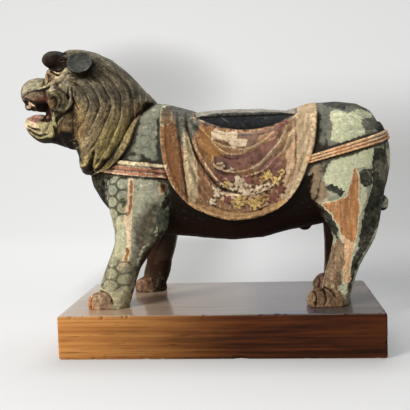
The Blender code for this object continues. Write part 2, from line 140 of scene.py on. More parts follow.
# Lines cut or raised on both sides: path, width, height
creases = {
    "nose": ([(-290, 371), (-280, 376), (-267, 379), (-251, 379), (-242, 383)], 2.2, -2.0),
    "lip": ([(-289, 369), (-279, 363), (-270, 357), (-264, 350)], 1.8, -2.4),
    "nostril": ([(-289, 362), (-284, 360)], 3.2, -4.5),
    "eye top": ([(-248, 412), (-240, 409), (-232, 405), (-225, 406), (-221, 410)], 2.2, -3.0),
    "eye lid": ([(-240, 406.5), (-234, 403.5), (-228, 403)], 1.6, 1.3),
    "eye slit": ([(-242, 406), (-237, 403), (-231, 399.5), (-226, 399.5)], 1.6, -2.6),
    "jaw fold A": ([(-284, 322), (-276, 316), (-265, 311), (-252, 315)], 2.0, -2.0),
    "jaw fold B": ([(-285, 328), (-275, 323), (-263, 321)], 1.8, -1.6),
    "cheek fold": ([(-256, 352), (-250, 343), (-250, 334), (-253, 324), (-260, 314)], 2.2, -1.6),
    "cheek groove": ([(-243, 326), (-240, 314), (-243, 302)], 2.2, -2.2),
    "curl outer": ([(-242, 366), (-239, 371), (-233, 373), (-227, 368), (-225, 359),
        (-228, 350)], 1.7, -2.0),
    "curl crescent": ([(-237, 370), (-231, 369), (-228, 362), (-230, 352)], 1.7, 1.4),
    "curl inner": ([(-240, 364), (-236, 366), (-232, 362), (-232, 356), (-235, 351)], 1.8, -2.4),
    "crack A": ([(-212, 384), (-215, 373), (-213, 362)], 1.0, -1.5),
    "crack B": ([(-208, 383), (-209, 371), (-207, 361), (-203, 354), (-198, 347)], 1.0, -1.9),
    "brow notch": ([(-226, 440), (-223, 429), (-223, 423)], 2.0, -3.0),
    "beard split": ([(-174, 288), (-179, 275), (-182, 263), (-181, 248)], 2.4, -4.0),
    "fold A": ([(-27, 321), (-19, 311), (-9, 300), (4, 291), (20, 286), (36, 283), (50, 286), (64, 293),
        (82, 306), (97, 318)], 1.5, 1.5),
    "fold A low": ([(-9, 298), (2, 287), (13, 279), (28, 277), (43, 281)], 1.3, 1.0),
    "fold B": ([(-6, 276), (-3, 262), (12, 254), (35, 253), (57, 261), (73, 276), (89, 293),
        (99, 315)], 1.6, 1.6),
    "fold C": ([(36, 246), (52, 249), (66, 255), (82, 270), (96, 284), (104, 302)], 1.4, 1.2),
    "fold D": ([(16, 224), (32, 220), (52, 222), (70, 228), (86, 241), (98, 258)], 1.4, 0.8),
    "under A": ([(-11, 293), (0, 281), (12, 273), (28, 271), (45, 276), (60, 284)], 2.4, -0.8),
    "under B": ([(-2, 257), (12, 249), (36, 248), (59, 256), (76, 271)], 2.4, -0.8),
    "under C": ([(43, 243), (65, 249), (84, 264), (98, 279)], 2.4, -0.7),
    "cloth edge": ([(-45, 338), (-43, 318), (-32, 283), (-21, 262), (-11, 247), (3, 231), (16, 225),
        (32, 222)], 2.0, -2.8),
    "cloth lip": ([(-38, 318), (-27, 285), (-16, 265), (-7, 251), (6, 236), (18, 230)], 1.6, 1.4),
    "pleat A": ([(-50, 330), (-46, 300), (-41, 262), (-35, 225)], 3.2, 2.2),
    "pleat B": ([(-40, 306), (-34, 280), (-24, 256), (-12, 238), (-2, 226)], 1.5, 1.2),
    "pleat C": ([(-38, 254), (-30, 230), (-16, 208)], 1.6, 1.0),
    "pleat D": ([(-29, 244), (-16, 223), (2, 206)], 1.6, 1.0),
    "flap groove": ([(-58, 338), (-53, 300), (-48, 255), (-43, 208)], 2.2, -1.8),
    "rear line A": ([(122, 325), (122, 295), (117, 260), (101, 229), (81, 208)], 1.3, -0.3),
    "rear line B": ([(131, 328), (130, 294), (123, 263), (109, 231), (89, 209)], 1.3, -0.25),
    "front toe arch": ([(-192, 76), (-184, 86), (-171, 87), (-160, 83), (-154, 73)], 1.6, -1.8),
    "front claw": ([(-156, 75), (-154, 67)], 1.8, -2.4),
    "front toe": ([(-184, 80), (-187, 72), (-186, 63)], 1.4, -1.6),
    "hind toe arch": ([(120, 79), (130, 87), (143, 88), (155, 83), (161, 73)], 1.7, -1.8),
    "hind toe A": ([(131, 84), (134, 75), (132, 64)], 1.6, -2.2),
    "hind toe B": ([(144, 85), (148, 75), (145, 64)], 1.6, -2.2),
    "rear edge": ([(111, 326), (111, 290), (106, 256), (90, 222), (70, 204), (44, 195), (14, 197),
        (-8, 205)], 1.6, -0.9),
}


def smooth(value, start, end):
    share = np.clip((value - start) / (end - start), 0, 1)
    return share * share * (3 - 2 * share)


def curveThrough(points, closed=False, steps=5):
    line = []
    count = len(points)
    for i in range(count if closed else count - 1):
        ids = [i - 1, i, i + 1, i + 2]
        p = [np.array(points[k % count] if closed else points[min(max(k, 0), count - 1)], float) for k in ids]
        for step in range(steps):
            t = step / steps
            line.append(0.5 * (
                2 * p[1] + (p[2] - p[0]) * t + (2 * p[0] - 5 * p[1] + 4 * p[2] - p[3]) * t**2
                + (3 * p[1] - p[0] - 3 * p[2] + p[3]) * t**3
            ))
    if not closed:
        line.append(np.array(points[-1], float))
    return [tuple(float(v) for v in point) for point in line]


# Rough shapes, each one closed skin in the block

def skin(block, rings):
    circle = bmesh.ops.create_circle(block, cap_ends=True, segments=len(rings[0]), radius=1)
    end = circle["verts"][0].link_faces[0]
    for i, ring in enumerate(rings):
        if i:
            pushed = bmesh.ops.extrude_face_region(block, geom=[end])["geom"]
            if i > 1:
                bmesh.ops.delete(block, geom=[end], context="FACES_ONLY")
            end = next(item for item in pushed if isinstance(item, bmesh.types.BMFace))
        for vert, point in zip(end.verts, ring):
            vert.co = point


def oval(centre, across, up, squareness=2.0, segments=48):
    centre, across, up = Vector(centre), Vector(across), Vector(up)
    points = []
    for i in range(segments):
        angle = 2 * math.pi * i / segments
        c, s = math.cos(angle), math.sin(angle)
        c = math.copysign(abs(c) ** (2 / squareness), c)
        s = math.copysign(abs(s) ** (2 / squareness), s)
        points.append(centre + across * c + up * s)
    return points


def lump(block, centre, radii, turn=0.0, both=True):
    for side in (1, -1) if both and centre[1] else (1,):
        place = Matrix.Translation((centre[0], side * centre[1], centre[2]))
        turned = Matrix.Rotation(math.radians(turn), 4, "Y")
        bmesh.ops.create_icosphere(
            block, subdivisions=4, radius=1, matrix=place @ turned @ Matrix.Diagonal((*radii, 1))
        )


def column(block, sections, squareness):
    rings = []
    for z, front, rear, y, half in sections:
        rings.append(oval(((front + rear) / 2, y, z), ((rear - front) / 2, 0, 0), (0, half, 0), squareness))
    skin(block, rings)


def pebble(block, outline, centre, halfWidth, fullness, layers=20):
    edge = curveThrough(outline, closed=True)
    cx, cz = centre
    rings = []
    for i in range(layers + 1):
        angle = math.pi * (i / layers - 0.5) * 0.98
        share = abs(math.cos(angle)) ** (2 / fullness)
        y = math.copysign(abs(math.sin(angle)) ** (2 / fullness), angle) * halfWidth
        rings.append([(cx + (x - cx) * share, y, cz + (z - cz) * share) for x, z in edge])
    skin(block, rings)


def rope(block, path, thick):
    line = curveThrough(path)
    for side in (1, -1) if path[0][1] else (1,):
        rings = []
        for i, (x, y, z) in enumerate(line):
            ahead = (Vector(line[min(i + 1, len(line) - 1)]) - Vector(line[max(i - 1, 0)])).normalized()
            across = ahead.cross((0, 1, 0)).normalized()
            swell = math.sin(math.pi * (i + 0.7) / (len(line) + 0.4)) ** 0.5
            rings.append(oval((x, y, z), across * thick * swell, ahead.cross(across) * -thick * swell, 2, 18))
        for ring in rings:
            for point in ring:
                point.y *= side
        skin(block, rings if side > 0 else rings[::-1])


def stub(block, centre, axis, radius, length, base=1.0):
    for side in (1, -1):
        ahead = Vector((axis[0], side * axis[1], axis[2])).normalized()
        across = ahead.cross((1, 0, 0)).normalized()
        up = ahead.cross(across)
        middle = Vector((centre[0], side * centre[1], centre[2]))
        rings = []
        for share, grow in ((-0.5, base), (-0.1, (1 + 2 * base) / 3), (0.3, 1.0), (0.46, 0.97), (0.5, 0.9)):
            rings.append(oval(middle + ahead * length * share, across * radius * grow, up * radius * grow))
        skin(block, rings)


def roughBody(block):
    rings = []
    for x, low, high, half in trunkSections:
        rings.append(oval((x, 0, (low + high) / 2), (0, half, 0), (0, 0, (high - low) / 2), 2.25))
    skin(block, rings)
    for sections in legSections.values():
        column(block, sections, 2.3)
    lump(block, (-118, 34, 232), (46, 36, 66), turn=8)  # shoulders
    lump(block, (178, 36, 262), (60, 37, 74), turn=-8)  # haunches
    lump(block, (124, 0, 169), (10, 12, 8))
    tail = [(232, 0, 318), (238, 0, 290), (239, 0, 262), (235, 0, 236), (230, 0, 212), (232, 0, 194)]
    rope(block, tail, 11)
    lump(block, (238, 0, 199), (9, 10, 12))  # tuft


def roughPaws(block):
    for toe, heel, y in paws["places"]:
        middle, length = (toe + heel) / 2, heel - toe
        size = (length / 2 + 1, paws["halfWidth"] - 1, paws["top"] - carving["soleZ"] - 6)
        lump(block, (middle + 5, y, carving["soleZ"] + 4), size, both=False)
        for i in (-1, 0, 1):
            place = (toe + 17 + 3 * abs(i), y + i * paws["halfWidth"] * 0.64, carving["soleZ"] + 6)
            lump(block, place, (17, 8.6, 15), both=False)


def roughHead(block):
    column(block, maneSections, 2.7)
    lump(block, (-214, 0, 384), (43, 43, 48))  # skull and crown
    lump(block, (-206, 0, 417), (42, 35, 21))
    lump(block, (-234, 20, 370), (20, 21, 28))  # cheeks and the jaw's hinge
    lump(block, (-216, 16, 328), (24, 26, 38))
    lump(block, (-246, 0, 388), (14, 26, 28))  # bridge of the nose
    lump(block, (-271, 0, 376), (27, 27, 24))  # nose and upper jaw
    lump(block, (-262, 0, 363), (28, 24, 15))
    lump(block, (-260, 14, 369), (21, 15, 13))
    lump(block, (-283, 12, 358), (7, 6, 8))  # fangs
    pebble(block, jawOutline, (-258, 322), 27, 2.6)
    lump(block, (-272, 0, 338), (16, 15, 7))  # tongue
    lump(block, (-250, 0, 342), (11, 23, 15))  # corner of the mouth
    lump(block, (-238, 18, 423), (19.5, 20, 13.5))  # brow bosses
    lump(block, (-226, 20, 420), (13, 17, 12))
    lump(block, (-240, 24, 402), (12, 10, 6), turn=24)  # eyes
    # Cheekbones, round curls and the two ridges behind the mouth
    rope(block, [(-264, 22, 380), (-248, 30, 382), (-235, 36, 388), (-224, 40, 396), (-214, 38, 408)], 6)
    stub(block, (curl["centre"][0], 33, curl["centre"][1]), (0, 1, 0), curl["radius"], 24)
    rope(block, [(-247, 26, 355), (-241, 27, 344), (-239, 27, 334), (-243, 24, 322), (-254, 20, 312)], 5.5)
    rope(block, [(-210, 42, 364), (-219, 40, 351), (-231, 36, 343), (-238, 30, 334)], 6)
    stub(block, ear["centre"], ear["axis"], ear["radius"], ear["length"], ear["base"])


# Distances on the side view, in millimetres

def fromEdge(x, z, start, end):
    (ax, az), (bx, bz) = start, end
    dx, dz = bx - ax, bz - az
    along = np.clip(((x - ax) * dx + (z - az) * dz) / max(dx**2 + dz**2, 1e-6), 0, 1)
    return along, np.hypot(x - ax - along * dx, z - az - along * dz)


def depthInside(x, z, outline):
    points = np.array(outline, float)
    away = np.full(len(x), 1e9)
    inside = np.zeros(len(x), bool)
    for start, end in zip(points, np.roll(points, -1, axis=0)):
        away = np.minimum(away, fromEdge(x, z, start, end)[1])
        (ax, az), (bx, bz) = start, end
        if az != bz:
            inside ^= ((az > z) != (bz > z)) & (x < (bx - ax) * (z - az) / (bz - az) + ax)
    return np.where(inside, away, -away)


def nearPath(x, z, path, reach=30):
    line = np.array(curveThrough(path, steps=4))
    away, share = np.full(len(x), 99.0), np.zeros(len(x))
    low, high = line.min(axis=0) - reach, line.max(axis=0) + reach
    near = np.flatnonzero((x > low[0]) & (x < high[0]) & (z > low[1]) & (z < high[1]))
    px, pz = x[near], z[near]
    best, where = np.full(len(near), 99.0), np.zeros(len(near))
    for i, (start, end) in enumerate(zip(line[:-1], line[1:])):
        along, distance = fromEdge(px, pz, start, end)
        closer = distance < best
        best = np.where(closer, distance, best)
        where = np.where(closer, (i + along) / (len(line) - 1), where)
    away[near], share[near] = best, where
    return away, share


def lockShare(x, z):
    cx, cz = locks["centre"]
    edge = np.array(curveThrough(locks["outline"], closed=True)) - (cx, cz)
    angles = np.arctan2(edge[:, 1], edge[:, 0])
    order = np.argsort(angles)
    even = np.linspace(-math.pi, math.pi, 180, endpoint=False)
    reach = np.interp(even, angles[order], np.hypot(edge[:, 0], edge[:, 1])[order], period=2 * math.pi)
    weights = [(i, math.exp(-((i / locks["softening"]) ** 2))) for i in range(-16, 17)]
    softened = sum(np.roll(reach, i) * weight for i, weight in weights) / sum(weight for _, weight in weights)
    reach = np.interp(np.arctan2(z - cz, x - cx), even, softened, period=2 * math.pi)
    return (np.hypot(x - cx, z - cz) - locks["faceReach"]) / (reach - locks["faceReach"])


def swagShare(x, z):
    low, high = np.full(len(x), -0.3), np.full(len(x), 1.4)
    for _ in range(20):
        share = (low + high) / 2
        middle, top, front, rear, drop = (a + (b - a) * share for a, b in zip(swags["top"], swags["hem"]))
        reach = np.where(x < middle, front, rear)
        beyond = ((x - middle) / reach) ** 2 + (np.maximum(top - z, 0) / np.maximum(drop, 1)) ** 2 > 1
        low, high = np.where(beyond, share, low), np.where(beyond, high, share)
    return (low + high) / 2


def strapEdges(x, strap):
    start, lowStart, highStart, end, lowEnd, highEnd = strap
    along = (x - start) / (end - start)
    return lowStart + (lowEnd - lowStart) * along, highStart + (highEnd - highStart) * along


def strapShare(x, z, strap):
    low, high = strapEdges(x, strap)
    return (z - low) / (high - low), high - low


def fromEar(x, y, z):
    # How far along the ear's own line, and how far off it
    axis = np.array(ear["axis"]) / np.linalg.norm(ear["axis"])
    offset = np.stack([x, np.abs(y), z], axis=1) - ear["centre"]
    along = offset @ axis
    return along, np.linalg.norm(offset - along[:, None] * axis, axis=1)


def rough(points, size, octaves):
    return np.array([noise.fractal(point / size, 1.0, 2.0, octaves) for point in map(Vector, points)])


# Cuts along the surface's own direction

def clothCut(x, z, soft):
    depth = depthInside(x, z, curveThrough(clothOutline, closed=True, steps=3))
    flap = np.interp(z, [p[1] for p in flapEdge], [p[0] for p in flapEdge])
    share = swagShare(x, z)
    fold = np.sin(2 * math.pi * (share * swags["folds"] + 0.18))
    fold = np.where(fold > 0, fold, fold * 0.7) * (0.55 + 0.45 * smooth(share, 0.9, 0.1))
    rise = smooth(x, flap, flap + 6) * smooth(z, 345, 300) * carving["foldRise"] * fold * smooth(depth, 2, 12)
    hem = smooth(depth, 8, 5) * 1.2
    on = smooth(depth, -soft, soft)
    return on, on * (carving["clothRise"] + rise + hem)


def maneCut(x, y, z, facing, wobble, soft):
    share = lockShare(x, z) + wobble * 0.014
    on = smooth(depthInside(x, z, curveThrough(maneOutline, closed=True)), -soft, soft)
    on = on * smooth(depthInside(x, z, curveThrough(faceOutline, closed=True, steps=3)), 8, -8)
    cx, cy, cz = ear["centre"]
    away = np.sqrt((x - cx) ** 2 + (np.abs(y) - cy - 6) ** 2 + (z - cz - 3) ** 2)
    on = on * smooth(away, ear["radius"] + 2, ear["radius"] + 8)
    turn = (share * locks["count"]) % 1
    lock = smooth(turn, 0, 0.14) * (1 - 0.75 * smooth(turn, 0.35, 1.0))
    strand = np.abs(np.sin(math.pi * locks["strands"] * share + wobble * 1.5)) ** 0.9
    sideways = smooth(np.abs(facing), 0.4, 0.75)
    edge = smooth(z, 350, 300) * smooth(x, -215, -175) * sideways
    clear = smooth(share, 0.02, 0.15) * np.maximum(sideways, smooth(z, 330, 370))
    clear = clear * (1 - 0.8 * smooth(x, -180, -205) * smooth(z, 330, 300)) * (1 - 0.6 * smooth(z, 350, 395))
    cut = (1 - lock) * carving["lockDepth"] + (1 - strand) * lock * carving["strandDepth"]
    return on, on * (carving["maneRise"] * edge - cut * clear)


def strapCut(x, z, strap, soft):
    share, width = strapShare(x, z, strap)
    on = smooth(share * width, -soft, soft) * smooth((1 - share) * width, -soft, soft)
    ribs = np.abs(np.sin(math.pi * 3 * np.clip(share, 0, 1)))
    return on * (carving["strapRise"] + carving["ribRise"] * (ribs - 0.6))


def creaseCuts(x, z):
    height = np.zeros(len(x))
    for path, width, rise in creases.values():
        away, share = nearPath(x, z, path, reach=3 * width)
        fade = 0.35 + 0.65 * smooth(np.minimum(share, 1 - share), 0, 0.15)
        height += rise * np.exp(-((away / width) ** 2)) * fade
    return height


def headCuts(x, y, z):
    along, radial = fromEar(x, y, z)
    dish = -0.9 * smooth(radial, 17.0, 15.5) * smooth(along, 6, 10)
    mouth = -4.5 * smooth(depthInside(x, z, paint["mouth"]["outlines"][0]), -1.0, 4.0) * smooth(z, 338, 346)
    return dish + mouth


def carve(points, normals, soft):
    x, y, z = points.T
    wobble = rough(points, 26, 3)
    outward = smooth(normals[:, 1] * np.sign(y), -0.45, 0.05)
    level = smooth(normals[:, 2], 0.3, 0.8)
    outward = np.maximum(outward, level)
    sideways = smooth(np.abs(normals[:, 1]), 0.1, 0.45)
    clothOn, cloth = clothCut(x, z, soft)
    cloth = cloth * (1 - 0.8 * level * smooth(z, 325, 335))
    maneOn, mane = maneCut(x, y, z, normals[:, 1], wobble, soft)
    seat = smooth(x, -34, -22) * smooth(x, 117, 108) * carving["seatLip"]
    seat = seat * smooth(z, carving["seatZ"] - soft, carving["seatZ"] + soft)
    bare = (1 - clothOn) * (1 - maneOn)
    front = strapCut(x, z, breastStrap, soft) * smooth(x, -60, -80) * smooth(np.abs(y), 28, 40)
    rear = strapCut(x, z, breeching, soft) * smooth(x, 120, 130)
    push = outward * (cloth + mane * (1 - clothOn) + seat * (1 - clothOn))
    push += bare * (front * outward + rear * np.maximum(outward, smooth(normals[:, 0], 0.2, 0.6)))
    push += sideways * (creaseCuts(x, z) + headCuts(x, y, z))
    return push + carving["toolMarks"] * (rough(points, 7, 3) + 1.6 * wobble)


def evaluated(mesh, settings):
    holder = bpy.data.objects.new("holder", mesh)
    bpy.context.scene.collection.objects.link(holder)
    for kind, values in settings:
        modifier = holder.modifiers.new(kind, kind)
        for name, value in values.items():
            setattr(modifier, name, value)
    graph = bpy.context.evaluated_depsgraph_get()
    made = bpy.data.meshes.new_from_object(holder.evaluated_get(graph))
    bpy.data.objects.remove(holder)
    return made


def pointsOf(mesh, what="co"):
    values = np.empty(len(mesh.vertices) * 3)
    mesh.vertices.foreach_get(what, values)
    return values.reshape(-1, 3)


def flatSoles(mesh):
    block = bmesh.new()
    block.from_mesh(mesh)
    cut = bmesh.ops.bisect_plane(
        block, geom=block.verts[:] + block.edges[:] + block.faces[:], dist=1e-4,
        plane_co=(0, 0, carving["soleZ"]), plane_no=(0, 0, -1), clear_outer=True,
    )
    rims = [item for item in cut["geom_cut"] if isinstance(item, bmesh.types.BMEdge)]
    bmesh.ops.holes_fill(block, edges=rims, sides=0)
    bmesh.ops.triangulate(block, faces=block.faces[:])
    bmesh.ops.recalc_face_normals(block, faces=block.faces[:])
    block.to_mesh(mesh)
    block.free()


# Paint, with painted shade and painted highlight in some of the coats. Colours are as on a paint card, 0 to 255. A
# coat covers its outlines and its strokes, a path and half its width each, drawn on the side view. ragged is how far
# its edge wanders and soft how far it fades, in mm.
# Some coats also have a rim of pale ground, a share of pale streaks in wood, a shrink inside the outlines, a
# side that they keep to, 1 for the far one and -1 for the near one, or an edge broken up into sprigs.

def coat(light, dark, ragged, soft, outlines=(), strokes=(), **more):
    shapes = {"outlines": outlines, "strokes": strokes}
    return {"colours": (light, dark), "ragged": ragged, "soft": soft, **shapes, **more}


def band(strap, low, high, front, rear):
    corners = []
    for x, share in ((front, low), (rear, low), (rear, high), (front, high)):
        bottom, top = strapEdges(x, strap)
        corners.append((x, bottom + (top - bottom) * share))
    return corners


def crease(half, *names):
    return [(creases[name][0], half) for name in names]


def disc(centre, radius):
    return [(centre[0] + radius * math.cos(a / 3), centre[1] + radius * math.sin(a / 3)) for a in range(19)]


flowerMake = {
    "squash": 0.85, "heart": 0.42, "petal": 0.58, "vein": (0.15, 0.95), "veinWidth": 0.55, "veinHeart": 0.5,
}
# x, z, size and number of petals
whites = [
    (5, 262, 7, 5), (20, 256, 6, 4), (30, 241, 9, 3), (0, 225, 11, 7), (40, 228, 11, 7), (58, 227, 9, 6),
    (22, 232, 8, 4), (-9, 211, 7, 5), (70, 231, 7, 5),
]
golds = [
    (70, 247, 10, 6), (84, 239, 9, 5), (90, 251, 6, 4), (30, 210, 13, 8), (51, 207, 12, 7), (12, 236, 7, 5),
    (66, 216, 8, 5), (61, 240, 6, 4),
]
roses = [(2, 243, 7, 5), (43, 243, 9, 5), (76, 216, 10, 6), (56, 237, 7, 5), (14, 214, 7, 5), (88, 227, 7, 5)]


def blossom(x, z, size, count):
    outline = []
    for i in range(count * 5):
        angle = 2 * math.pi * i / (count * 5)
        reach = size * (flowerMake["heart"] + flowerMake["petal"] * abs(math.sin(count * angle / 2 + x)))
        outline.append((x + reach * math.cos(angle), z + flowerMake["squash"] * reach * math.sin(angle)))
    return outline


def veins(x, z, size, count):
    lines = []
    for i in range(count):
        angle = 2 * math.pi * i / count + 2 * (math.pi - x) / count
        lines.append(([
            (x + share * size * math.cos(angle), z + flowerMake["squash"] * share * size * math.sin(angle))
            for share in flowerMake["vein"]
        ], flowerMake["veinWidth"]))
    return lines


def flowerHeart(x, z, size, count):
    path = [(x - size * 0.5, z + size * 0.1), (x, z - size * 0.12), (x + size * 0.5, z + size * 0.14)]
    return path, flowerMake["veinHeart"]


